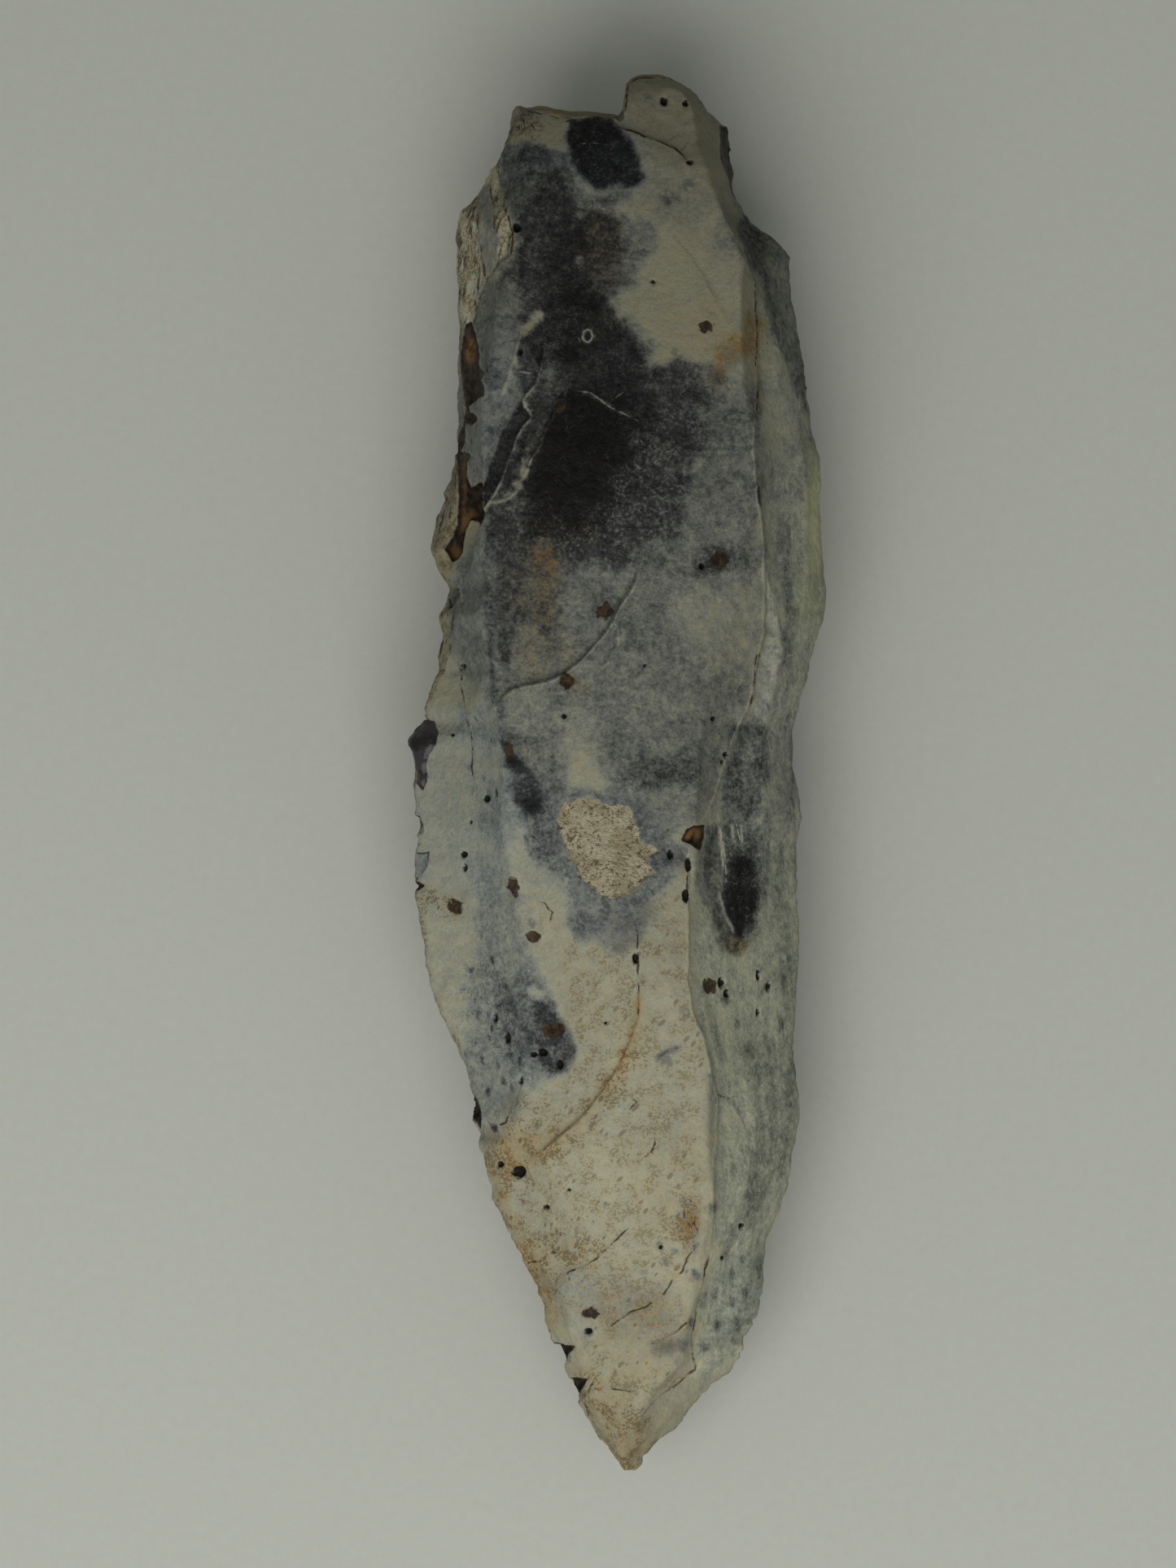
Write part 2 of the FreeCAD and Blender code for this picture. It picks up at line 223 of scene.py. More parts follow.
def outline_depth(places, outline):
    """How deep each place lies inside a closed outline in pixels, and below zero outside it."""
    closed = list(outline) + [outline[0]]
    distance, _, _ = line_distance(places, closed)
    inside = np.zeros(len(places), bool)
    for (column_a, row_a), (column_b, row_b) in zip(closed, closed[1:]):
        if row_a == row_b:
            continue
        spans = (row_a > places[:, 1]) != (row_b > places[:, 1])
        crossing = column_a + (places[:, 1] - row_a) / (row_b - row_a) * (column_b - column_a)
        inside ^= spans & (places[:, 0] < crossing)
    return np.where(inside, distance, -distance)


# %% Seeded noise
LOTS = 4096
CELL_SHIFT = 1000.0
CELL_FACTORS = (73856093, 19349663, 83492791)


def corner_share(part, steps):
    """How much one corner of its cell counts for each point. The steps say which corner."""
    share = np.ones(len(part))
    for axis, step in enumerate(steps):
        share = share * (part[:, axis] if step else 1 - part[:, axis])
    return share


def lumps(points, size_mm, seed):
    """Smooth seeded noise from -1 to 1 with lumps of about that size."""
    lots = np.random.default_rng(seed).uniform(-1, 1, LOTS)
    cell = points / MM / size_mm + CELL_SHIFT
    corner = np.floor(cell).astype(np.int64)
    part = cell - corner
    part = part * part * (3 - 2 * part)
    total = np.zeros(len(points))
    for steps in itertools.product((0, 1), repeat=3):
        keys = (corner + steps) * CELL_FACTORS
        key = keys[:, 0] ^ keys[:, 1] ^ keys[:, 2]
        total += lots[key % LOTS] * corner_share(part, steps)
    return total


def layered_lumps(points, size_mm, seed, layers=3):
    """Noise with finer and weaker layers on top of the first."""
    return sum(lumps(points, size_mm / 2**layer, seed + layer) / 2**layer for layer in range(layers))


# %% [markdown]
# ## The edges of the scars
#
# A flake that is struck off leaves a hollow with a sharp edge on the side where the old surface
# still stands, and a step where the flake broke short. Each edge below is a line read off the
# photograph, with the side on which the hollow lies, the depth of the step in millimetres, and how
# far the hollow runs out in pixels. A step could be cut with a knife tool. Moving the points by
# their distance to the line was chosen because it gives the soft run-out of a real scar.

# %% Scar edges
# Name: (side of the hollow, step in mm, run-out in pixels, line).
SCAR_EDGES = {
    "central_arc": (1, 0.62, 46, [(788, 690), (778, 722), (762, 746), (748, 772), (732, 792), (716, 810),
        (700, 824), (680, 836), (656, 842), (632, 846), (618, 858), (606, 870)]),
    "second_arc": (1, 0.26, 16, [(753, 768), (757, 780), (756, 796), (748, 811), (738, 822)]),
    "lower_crease": (1, 0.46, 60, [(782, 1184), (785, 1214), (786, 1248), (774, 1279), (757, 1313),
        (740, 1340), (718, 1368), (697, 1387), (676, 1404), (649, 1427)]),
    "crease_crack": (1, 0.04, 6, [(783, 1140), (782, 1160), (784, 1180), (785, 1214), (786, 1242)]),
    "shelf_ridge": (1, 0.32, 12, [(638, 416), (634, 431), (631, 445), (622, 468), (616, 486)]),
    "band_left": (1, 0.30, 14, [(642, 488), (640, 496), (631, 511), (616, 537), (610, 558), (602, 576),
        (598, 592), (593, 605), (592, 626)]),
    "band_right": (1, 0.62, 13, [(669, 422), (665, 445), (661, 460), (659, 472), (647, 486), (641, 496),
        (643, 504), (651, 515), (643, 525), (635, 539), (630, 555), (622, 574), (616, 592), (608, 608),
        (598, 623), (592, 634)]),
    "band_far": (1, 0.38, 13, [(698, 474), (694, 482), (686, 496), (680, 512), (670, 528), (663, 549),
        (651, 566), (645, 584), (638, 604), (622, 616), (604, 618), (596, 624)]),
    "bevel_edge": (1, 0.45, 22, [(643, 135), (621, 179), (613, 200), (612, 215), (615, 230), (621, 242),
        (620, 260), (625, 272), (630, 290), (628, 317), (609, 335), (600, 347), (591, 368), (585, 389),
        (580, 404)]),
    "nub_edge": (-1, 0.34, 40, [(752, 150), (759, 160), (777, 167), (798, 175), (816, 181), (828, 187),
        (840, 199), (847, 206)]),
    "nub_arc": (1, 0.10, 10, [(842, 122), (849, 138), (846, 154), (836, 168), (822, 177), (808, 176)]),
    "right_ridge_top": (-1, 0.20, 26, [(884, 200), (880, 228), (884, 252), (899, 287), (917, 316),
        (930, 350), (931, 400), (929, 520)]),
    "right_ridge_middle": (-1, 0.26, 24, [(928, 520), (926, 560), (930, 612), (938, 648), (940, 720),
        (938, 780), (928, 824), (924, 862), (906, 898), (886, 956), (872, 996), (862, 1014)]),
    "right_ridge_low": (-1, 0.34, 30, [(850, 1036), (845, 1070), (846, 1180), (843, 1200), (852, 1242),
        (865, 1275), (875, 1319), (883, 1350), (880, 1400), (876, 1455), (877, 1485), (872, 1530)]),
    "right_ridge_end": (-1, 0.16, 20, [(872, 1530), (856, 1600), (848, 1640), (853, 1682), (824, 1703),
        (801, 1723), (783, 1744)]),
    "flank_line": (-1, 0.26, 30, [(888, 216), (905, 284), (914, 322), (933, 362), (956, 420), (976, 480),
        (1000, 540)]),
    "flank_low_line": (-1, 0.12, 18, [(888, 1351), (900, 1354), (910, 1370), (920, 1392), (922, 1430),
        (920, 1460)]),
    "face_line": (-1, 0.12, 18, [(820, 288), (842, 314), (863, 344), (880, 376), (898, 411)]),
    "tip_crease_a": (1, 0.20, 18, [(770, 1508), (754, 1523), (740, 1536), (728, 1548), (712, 1558),
        (690, 1565)]),
    "tip_crease_b": (-1, 0.28, 22, [(853, 1527), (846, 1539), (836, 1560), (826, 1570), (815, 1588),
        (795, 1603), (776, 1609), (759, 1618), (742, 1632)]),
    "tip_crease_c": (1, 0.20, 16, [(845, 1621), (832, 1633), (815, 1644), (798, 1650)]),
    "tip_crease_d": (1, 0.08, 10, [(742, 1700), (758, 1705), (777, 1707)]),
    "tip_crease_e": (-1, 0.08, 14, [(804, 1498), (826, 1514), (838, 1528)]),
    "left_crack": (1, 0.14, 12, [(564, 818), (568, 840), (572, 858), (575, 884), (580, 912), (581, 940),
        (586, 966)]),
    "left_facet": (1, 0.14, 14, [(510, 1048), (526, 1048), (524, 1066), (514, 1080)]),
    "low_left_step": (-1, 0.14, 12, [(600, 1376), (606, 1386), (622, 1380), (624, 1372)]),
}

# Hair cracks and scratches, which are painted and hardly have a depth.
HAIR_CRACKS = [
    [(928, 349), (930, 400), (929, 450), (928, 506)], [(928, 806), (926, 840), (922, 872)],
    [(670, 529), (666, 543), (658, 556), (651, 566)],
    [(664, 1106), (670, 1109), (675, 1117), (680, 1122), (678, 1131)],
    [(847, 1058), (843, 1080), (845, 1104)], [(803, 1402), (800, 1411), (793, 1418)],
    [(619, 238), (624, 252), (621, 266)], [(586, 262), (588, 292), (593, 318), (596, 342)],
    [(601, 232), (607, 262), (606, 280), (614, 300), (611, 326)], [(746, 162), (750, 176), (745, 190)],
    [(652, 150), (655, 160)], [(644, 152), (646, 166)], [(637, 160), (638, 170)],
    [(776, 1345), (783, 1352), (777, 1357)], [(648, 1552), (664, 1548), (672, 1538), (690, 1536)],
    [(727, 1700), (719, 1718), (722, 1740)], [(884, 1345), (900, 1350), (908, 1362)],
    [(828, 1477), (838, 1480), (840, 1492), (846, 1502), (842, 1518)],
    [(848, 1474), (854, 1488), (851, 1500), (858, 1512), (853, 1530)],
    [(556, 574), (549, 604), (543, 640), (535, 672)], [(563, 568), (557, 602), (551, 640)],
    [(645, 138), (669, 144), (696, 152), (720, 149), (750, 148), (762, 144)],
    [(769, 138), (770, 112), (778, 101)], [(778, 101), (790, 97), (816, 97), (836, 104)],
    [(541, 746), (546, 780), (540, 806)], [(553, 726), (557, 762), (552, 800), (545, 826)],
]
PALE_SCRATCHES = [
    [(712, 484), (726, 486), (737, 494), (749, 504), (765, 512), (782, 520)], [(750, 496), (763, 488)],
    [(717, 181), (727, 180), (742, 182)], [(885, 1019), (888, 1036), (891, 1052), (891, 1080)],
    [(905, 1013), (909, 1030)], [(641, 461), (650, 462)],
    [(722, 409), (726, 411), (728, 416), (727, 421), (723, 425), (719, 424), (716, 419), (717, 412),
     (722, 409)], [(711, 419), (713, 423)], [(566, 714), (568, 744)],
]

print("scar edges, cracks and scratches:", len(SCAR_EDGES), len(HAIR_CRACKS), len(PALE_SCRATCHES))

# %% [markdown]
# ## Chips, pits and the chalky inclusion
#
# Small fresh chips broke away from the margins not long ago, so they show the dark glassy flint
# inside. Pits are old bubbles or lost grains. The chalky inclusion is a pocket of soft cortex. Each
# is an outline or a round place, and its points sink below the old surface with a crisp rim.

# %% Chips and pits
# Name: (depth in mm, outline).
FRESH_CHIPS = {
    "left_long": (0.60, [(579, 396), (583, 408), (586, 425), (588, 441), (587, 452), (596, 462), (590, 470),
        (595, 480), (594, 490), (585, 494), (576, 500), (577, 507), (582, 509), (587, 514), (586, 520),
        (580, 524), (571, 522), (571, 531), (570, 543), (566, 555), (572, 556), (577, 560), (576, 566),
        (573, 569), (573, 584), (577, 601), (583, 597), (590, 594), (591, 604), (592, 625), (598, 632),
        (593, 647), (588, 642), (578, 640), (573, 649), (570, 666), (569, 680), (563, 688), (555, 692),
        (551, 682), (546, 675), (555, 660), (561, 645), (563, 625), (563, 604), (561, 584), (560, 564),
        (557, 557), (561, 539), (568, 522), (571, 505), (569, 490), (567, 470), (564, 452), (564, 436),
        (568, 416), (573, 400)]),
    "triangle": (0.45, [(865, 1013), (852, 1013), (843, 1018), (836, 1032), (848, 1037), (859, 1045),
        (864, 1030)]),
    "low_left_a": (0.6, [(672, 1650), (707, 1652), (700, 1661), (695, 1672), (691, 1684), (680, 1672)]),
    "low_left_b": (0.6, [(686, 1692), (723, 1693), (717, 1704), (711, 1714), (709, 1730), (698, 1716)]),
    "margin_a": (0.4, [(503, 1003), (515, 1002), (519, 1014), (513, 1024), (503, 1030)]),
    "margin_b": (0.4, [(503, 1086), (514, 1083), (522, 1089), (513, 1095), (504, 1094)]),
    "margin_c": (0.4, [(574, 1338), (582, 1344), (588, 1352), (592, 1366), (590, 1388), (583, 1376),
        (578, 1360)]),
    "right_crack": (0.3, [(930, 598), (934, 602), (937, 618), (937, 630), (932, 622), (929, 608)]),
    "right_edge": (0.2, [(885, 154), (898, 156), (904, 180), (906, 200), (911, 230), (920, 250), (933, 271),
        (947, 280), (962, 292), (975, 314), (969, 312), (957, 294), (944, 285), (930, 276), (916, 259),
        (903, 237), (892, 214), (885, 197), (886, 179)]),
}

CHALK_OUTLINE = [
    (690, 990), (702, 984), (716, 980), (732, 981), (748, 989), (771, 990), (777, 1000), (781, 1013),
    (786, 1028), (790, 1036), (806, 1044), (796, 1052), (793, 1061), (803, 1070), (792, 1078), (784, 1086),
    (776, 1096), (760, 1103), (748, 1102), (737, 1100), (731, 1090), (720, 1084), (712, 1074), (706, 1061),
    (698, 1050), (694, 1037), (688, 1025), (685, 1012), (689, 1000),
]

KNOB_OUTLINE = [
    (519, 881), (534, 887), (538, 900), (536, 914), (528, 928), (524, 944), (525, 960), (519, 973),
    (511, 962), (508, 940), (502, 922), (500, 912), (504, 902), (515, 892),
]

# Columns, rows and half sizes across and along.
PITS = [
    (635, 284, 5, 6), (816, 128, 5, 5), (843, 130, 4, 4), (802, 350, 3, 3), (780, 1176, 4, 7),
    (637, 1438, 9, 7), (671, 1482, 4, 3), (723, 1634, 4, 4), (571, 1066, 3, 4), (861, 698, 3, 4),
    (640, 436, 3, 4), (622, 1274, 4, 7), (848, 203, 4, 3), (762, 142, 4, 3), (845, 1062, 4, 9),
    (842, 1100, 4, 8), (823, 1050, 4, 6), (666, 1292, 6, 5), (686, 1307, 5, 6), (639, 1326, 3, 5),
    (598, 982, 4, 4), (570, 1050, 4, 4), (932, 1198, 3, 7), (945, 1212, 3, 7), (887, 1206, 4, 7),
    (893, 1219, 3, 5), (614, 1430, 5, 4), (912, 1506, 3, 4), (568, 820, 3, 3), (693, 881, 3, 3),
    (792, 820, 2, 2), (876, 884, 3, 3), (891, 928, 3, 3), (887, 937, 2, 3), (934, 806, 2, 3),
    (608, 1250, 3, 5), (656, 1294, 4, 3), (888, 1545, 2, 3), (932, 1244, 2, 5), (619, 240, 3, 3),
    (556, 903, 2, 2), (578, 1010, 2, 2), (742, 1255, 2, 2), (700, 1460, 2, 2), (812, 1530, 3, 3),
]

BROWN_SPOTS = [
    (867, 406, 9, 8), (884, 690, 11, 10), (743, 753, 10, 10), (631, 1090, 8, 11), (680, 1265, 15, 9),
    (655, 1150, 10, 7), (872, 1210, 8, 10), (697, 838, 10, 9), (688, 503, 7, 9), (626, 924, 5, 12),
    (724, 1612, 9, 7), (559, 1114, 9, 8),
]


RAGGED_SHARE = 0.22


def round_depth(places, spots, ragged):
    """How deep each place lies inside the nearest of the round spots, in pixels."""
    depth = np.full(len(places), NOT_INSIDE_PX)
    for column, row, half_across, half_along in spots:
        half = (half_across + half_along) / 2
        offset = (places + ragged * RAGGED_SHARE * half - (column, row)) / (half_across, half_along)
        depth = np.maximum(depth, (1 - np.hypot(offset[:, 0], offset[:, 1])) * half)
    return depth


print("chips, pits and spots:", len(FRESH_CHIPS), len(PITS), len(BROWN_SPOTS))

# %% [markdown]
# ## More points where the detail is
#
# A step of half a millimetre needs points that are closer together than that. Only the faces close
# to a scar edge, a chip or a pit are divided again, which keeps the stone under its limit of
# triangles.

# %% Divide near the details
DETAIL_REACH_PX = 4.5
CRACK_WEIGHT = 1.3
NOT_STEEP = 0.02
SMOOTHING = 0.35


def detail_distance(places):
    """The distance to the nearest scar edge, chip rim, pit or spot, in pixels."""
    distance = np.full(len(places), FAR_PX)
    for _, _, _, line in SCAR_EDGES.values():
        distance = np.minimum(distance, line_distance(places, line)[0])
    for _, outline in FRESH_CHIPS.values():
        distance = np.minimum(distance, np.abs(outline_depth(places, outline)))
    for outline in (CHALK_OUTLINE, KNOB_OUTLINE):
        distance = np.minimum(distance, np.abs(outline_depth(places, outline)))
    for line in HAIR_CRACKS + PALE_SCRATCHES:
        distance = np.minimum(distance, CRACK_WEIGHT * line_distance(places, line)[0])
    return np.minimum(distance, -round_depth(places, PITS + BROWN_SPOTS, np.zeros_like(places)))


stone_mesh.normal_update()
centres = np.array([face.calc_center_median()[:] for face in stone_mesh.faces])
near_detail = detail_distance(photo_places(centres)) < DETAIL_REACH_PX
near_faces = [face for face, near in zip(stone_mesh.faces, near_detail) if near]
divide_faces(stone_mesh, [face for face in near_faces if face.normal.z > NOT_STEEP])
lay_onto(stone_mesh, solid_tree)
bmesh.ops.smooth_vert(
    stone_mesh, verts=stone_mesh.verts, factor=SMOOTHING, use_axis_x=True, use_axis_y=True, use_axis_z=True)
bmesh.ops.triangulate(stone_mesh, faces=stone_mesh.faces)
print("points and triangles of the stone:", len(stone_mesh.verts), len(stone_mesh.faces))

stone = new_object("patinated_stone", stone_mesh)
stone_data = stone.data


# %% Reading and moving the points
def read_vectors(source, name):
    """One vector for each point of the stone."""
    values = np.empty(len(stone_data.vertices) * 3, np.float32)
    source.foreach_get(name, values)
    return values.reshape(-1, 3).astype(float)


def read_points():
    """The places of the stone's points, in metres."""
    return read_vectors(stone_data.vertices, "co")


def read_normals():
    """The directions in which the skin faces at its points."""
    return read_vectors(stone_data.vertex_normals, "vector")


def write_points(points):
    """Moves the stone's points."""
    stone_data.vertices.foreach_set("co", points.astype(np.float32).ravel())
    stone_data.update()


# %% [markdown]
# ## The outline
#
# The margins of the real stone wander by a millimetre from the solid's smooth sides. The outline was
# read off the photograph, and the outer part of the stone is pulled sideways to it row by row. The
# middle stays where it is.

# %% The margins
LEFT_MARGIN = [
    (636, 136), (626, 146), (618, 168), (608, 192), (598, 208), (588, 232), (574, 252), (564, 258),
    (559, 276), (559, 300), (560, 352), (563, 400), (561, 460), (562, 520), (558, 556), (556, 572),
    (546, 604), (540, 624), (532, 652), (526, 676), (534, 696), (550, 724), (544, 744), (536, 756),
    (544, 780), (536, 808), (538, 824), (526, 848), (520, 868), (520, 884), (502, 904), (501, 916),
    (508, 932), (508, 960), (508, 1000), (512, 1032), (507, 1060), (508, 1088), (512, 1120), (518, 1156),
    (524, 1192), (528, 1216), (542, 1252), (556, 1280), (572, 1316), (578, 1345), (580, 1374), (590, 1394),
    (586, 1402), (592, 1422), (598, 1446), (606, 1474), (616, 1498), (632, 1530), (642, 1550), (656, 1578),
    (667, 1606), (668, 1626), (678, 1646), (690, 1674), (698, 1702), (708, 1724), (722, 1750), (740, 1774),
    (752, 1792), (764, 1804),
]
RIGHT_MARGIN = [
    (887, 153), (896, 158), (902, 200), (906, 232), (920, 256), (932, 274), (946, 284), (964, 300),
    (973, 316), (973, 332), (976, 360), (980, 392), (987, 420), (991, 448), (996, 500), (1000, 536),
    (1008, 560), (1009, 600), (1010, 660), (1014, 692), (1017, 728), (1014, 760), (1002, 800), (994, 832),
    (984, 872), (976, 896), (976, 940), (982, 968), (987, 1004), (980, 1040), (982, 1124), (984, 1160),
    (982, 1200), (980, 1244), (976, 1280), (980, 1320), (986, 1368), (980, 1402), (971, 1450), (960, 1490),
    (944, 1518), (940, 1550), (940, 1574), (938, 1606), (930, 1626), (916, 1646), (915, 1658), (906, 1678),
    (880, 1704), (854, 1728), (836, 1756), (812, 1774), (796, 1790), (780, 1804),
]
MARGIN_STEP_PX = 4
MARGIN_ROWS = np.arange(160, 1796, MARGIN_STEP_PX)
PULLED_SHARE = 0.3


def margin_columns(places, side):
    """The outermost column of the stone in each row: its left side for -1, its right side for 1."""
    columns = []
    for row in MARGIN_ROWS:
        strip = places[np.abs(places[:, 1] - row) < MARGIN_STEP_PX, 0]
        columns.append(side * np.max(side * strip))
    return np.array(columns)


def pull_margins(points):
    """The stone with its margins on the lines read off the photograph."""
    places = photo_places(points)
    now = [margin_columns(places, side) for side in (-1, 1)]
    lines = [np.array(line, float) for line in (LEFT_MARGIN, RIGHT_MARGIN)]
    gaps = [np.interp(MARGIN_ROWS, *line.T[::-1]) - have for line, have in zip(lines, now)]
    left, right = (np.interp(places[:, 1], MARGIN_ROWS, columns) for columns in now)
    pull_left, pull_right = (np.interp(places[:, 1], MARGIN_ROWS, gap) for gap in gaps)
    share = np.clip((places[:, 0] - left) / (right - left), 0, 1)
    moved = pull_left * (1 - smooth_step(share, 0, PULLED_SHARE))
    moved += pull_right * smooth_step(share, 1 - PULLED_SHARE, 1)
    print("largest pull, px:", [round(float(np.abs(gap).max()), 1) for gap in gaps])
    result = points.copy()
    result[:, 0] += moved * COLUMN_MM * MM
    return result


# The blunt end has a low part on the left and the nub on the right.
BLUNT_END = [
    [(640, 134), (660, 127), (672, 129), (696, 133), (726, 133), (756, 137), (766, 142)],
    [(766, 110), (770, 103), (776, 98), (789, 94), (816, 94), (837, 101), (855, 113), (870, 134),
        (885, 149), (897, 155)],
]
END_REACH_PX = 36.0
END_STEP_PX = 3
END_START_PX = (636, 650)


def pull_blunt_end(points):
    """The stone with its blunt end on the lines read off the photograph."""
    places = photo_places(points)
    result = points.copy()
    for line in BLUNT_END:
        corners = np.array(line, float)
        columns = np.arange(corners[0, 0] + 4, corners[-1, 0] - 3, END_STEP_PX)
        strips = [places[np.abs(places[:, 0] - column) < END_STEP_PX, 1] for column in columns]
        now = np.array([strip.min() for strip in strips])
        pull = np.interp(columns, *corners.T) - now
        within = (places[:, 0] >= corners[0, 0]) & (places[:, 0] < corners[-1, 0])
        below = places[:, 1] - np.interp(places[:, 0], columns, now)
        share = smooth_step(END_REACH_PX - below, 0, END_REACH_PX) * within
        share *= smooth_step(places[:, 0], *END_START_PX)
        result[:, 1] -= share * np.interp(places[:, 0], columns, pull) * ROW_MM * MM
        print("pull of the blunt end, px:", round(float(pull.min()), 1), round(float(pull.max()), 1))
    return result


write_points(pull_blunt_end(pull_margins(read_points())))

# %% [markdown]
# ## The upper face
#
# The solid's upper face has a crease along its middle where two faces of the blank meet. The real
# face was made by wide flakes and is a gentle swell. Its heights are averaged over a few
# millimetres, and less and less towards the ridges that frame it.

# %% A gentle swell
UPPER_FACE = [
    (652, 168), (750, 168), (850, 220), (893, 310), (914, 380), (912, 560), (920, 660), (922, 760),
    (904, 850), (870, 930), (846, 1000), (828, 1080), (828, 1200), (846, 1300), (862, 1390), (850, 1500),
    (830, 1600), (806, 1690), (775, 1744), (745, 1716), (722, 1640), (688, 1540), (655, 1440), (630, 1330),
    (620, 1200), (616, 1100), (618, 1000), (616, 900), (612, 800), (608, 650), (640, 540), (655, 460),
    (612, 400), (640, 300), (630, 220),
]
GRID_PX = 4.0
GRID_CORNER = (450, 60)
GRID_CELLS = (150, 450)
SWELL_PX = 30.0
SWELL_RIM_PX = 45


def blurred(grid, radius):
    """The grid averaged over a round bell of that radius, in cells."""
    reach = int(3 * radius)
    bell = np.exp(-0.5 * (np.arange(-reach, reach + 1) / radius) ** 2)
    for axis in (0, 1):
        grid = np.apply_along_axis(np.convolve, axis, grid, bell / bell.sum(), mode="same")
    return grid


def averaged_heights(places, heights, counted, radius_px):
    """Each point's height, averaged over the counted points around it."""
    cell = (places - GRID_CORNER) / GRID_PX
    flat = np.ravel_multi_index(cell.astype(int)[counted].T, GRID_CELLS)
    size = math.prod(GRID_CELLS)
    count = np.bincount(flat, minlength=size)
    average = np.bincount(flat, heights[counted], minlength=size) / np.maximum(count, 1)
    filled = (count > 0).astype(float)
    weight, spread = (
        blurred(values.reshape(GRID_CELLS), radius_px / GRID_PX) for values in (filled, average * filled))
    smooth = spread / np.maximum(weight, 1e-6)
    corner = np.clip(np.floor(cell - 0.5).astype(int), 0, np.subtract(GRID_CELLS, 2))
    part = cell - 0.5 - corner
    total = np.zeros(len(places))
    for steps in itertools.product((0, 1), repeat=2):
        total += corner_share(part, steps) * smooth[tuple((corner + steps).T)]
    return total


points = read_points()
places = photo_places(points)
upward = read_normals()[:, 2] > 0.1
swell = averaged_heights(places, points[:, 2], upward, SWELL_PX)
share = smooth_step(outline_depth(places, UPPER_FACE), 0, SWELL_RIM_PX) * upward
change = (swell - points[:, 2]) * share
points[:, 2] += change
print("largest change of the upper face, mm:", round(float(np.abs(change).max() / MM), 2))
write_points(points)

# %% [markdown]
# ## Striking the scars
#
# Now the steps, chips and pits are pressed into the skin. Each point moves along the direction in
# which the skin faces there, so a scar on a steep side is cut into that side. The wobble bends each
# line a little, because flint breaks in small waves.

# %% Steps, chips and pits
FADE_SHARE = 0.12
DROP_PX = 3.0
LIP_SHARE = 0.22
PIT_MM = 0.55
SPOT_MM = 0.06
CHALK_MM = 0.18
CHALK_RIM_MM = 0.12
KNOB_MM = 0.35

points = read_points()
normals = read_normals()
places = photo_places(points)
facing_up = smooth_step(normals[:, 2], 0.0, 0.25)
wobble = np.column_stack([
    0.65 * lumps(points, 2.2, seed) + 0.35 * lumps(points, 0.7, seed + 1) for seed in (11, 21)])


def step_profile(distance, side, way, hollow_side, step_mm, run_px):
    """The height of a scar edge: a crisp drop on one side that runs out into the hollow."""
    ends = smooth_step(way, 0, FADE_SHARE) * smooth_step(1 - way, 0, FADE_SHARE)
    drop = -step_mm * smooth_step(distance, 0, DROP_PX) * np.exp(-distance / run_px)
    lip = LIP_SHARE * step_mm * np.exp(-distance / (0.35 * run_px + DROP_PX))
    return np.where(side == hollow_side, drop + lip * np.exp(-distance / 2.0), lip) * ends


lift = np.zeros(len(points))
for hollow_side, step_mm, run_px, line in SCAR_EDGES.values():
    distance, side, way = line_distance(places + 1.6 * wobble, line)
    lift += step_profile(distance, side, way, hollow_side, step_mm, run_px)

fresh_depth = np.full(len(points), NOT_INSIDE_PX)
for depth_mm, outline in FRESH_CHIPS.values():
    depth = outline_depth(places + 1.2 * wobble, outline)
    fresh_depth = np.maximum(fresh_depth, depth)
    lift -= depth_mm * smooth_step(depth, -0.5, 5.0)

pit_depth = round_depth(places, PITS, wobble)
lift -= PIT_MM * smooth_step(pit_depth, -1.5, 3.0) * facing_up
spot_depth = round_depth(places, BROWN_SPOTS, wobble)
lift -= SPOT_MM * smooth_step(spot_depth, -1.0, 2.0)
chalk_depth = outline_depth(places + 2.2 * wobble, CHALK_OUTLINE)
chalk = smooth_step(chalk_depth, -1.5, 2.5)
chalk_lumps = CHALK_MM + 0.14 * lumps(points, 1.1, 33) + 0.10 * lumps(points, 0.55, 31)
lift -= chalk * (chalk_lumps + 0.08 * lumps(points, 0.3, 32))
lift += CHALK_RIM_MM * np.exp(-np.abs(chalk_depth + 3) / 3.0) * (1 - chalk)
knob_depth = outline_depth(places + 1.0 * wobble, KNOB_OUTLINE)
lift += KNOB_MM * smooth_step(knob_depth, -0.5, 8.0)
print("deepest and highest move, mm:", round(float(lift.min()), 2), round(float(lift.max()), 2))

# %% [markdown]
# ## The skin between the scars
#
# Flint breaks with faint rings around the place of the blow, like rings in water. The left bevel at
# the blunt end is bruised and splintered, and the margins carry rows of tiny flakes. All of it is
# shallow, but it catches the light when the stone is turned.

# %% Rings, bruises and small flakes
# Centre column and row, radius and width of the ringed zone, spacing of the rings, height in mm.
RINGS = [
    (646, 704, 120, 60, 26, 0.030), (830, 96, 60, 46, 15, 0.022), (668, 1266, 120, 70, 30, 0.030),
    (860, 1000, 200, 150, 42, 0.028), (560, 1080, 130, 110, 24, 0.030), (760, 420, 190, 130, 46, 0.030),
    (900, 1560, 200, 120, 32, 0.030), (1010, 700, 120, 110, 20, 0.026), (600, 480, 60, 50, 15, 0.024),
]
BRUISED_BEVEL = [
    (636, 138), (619, 172), (614, 224), (630, 268), (631, 303), (610, 335), (588, 376), (581, 404),
    (566, 404), (552, 352), (552, 270), (580, 230), (600, 190),
]
SMOOTH_FACET = [
    (586, 246), (594, 226), (602, 236), (606, 262), (613, 296), (611, 320), (600, 338), (594, 342),
    (590, 320), (586, 290),
]
MARGIN_FLAKES_PX = 14.0
FLAKE_MM = 0.30
FLAKE_SINK_MM = 0.16
UNDERSIDE_WAVE_MM = 0.05
SWELL_MM = 0.035
GRAIN_MM = 0.018
FLAT_FOOT_MM = 0.8

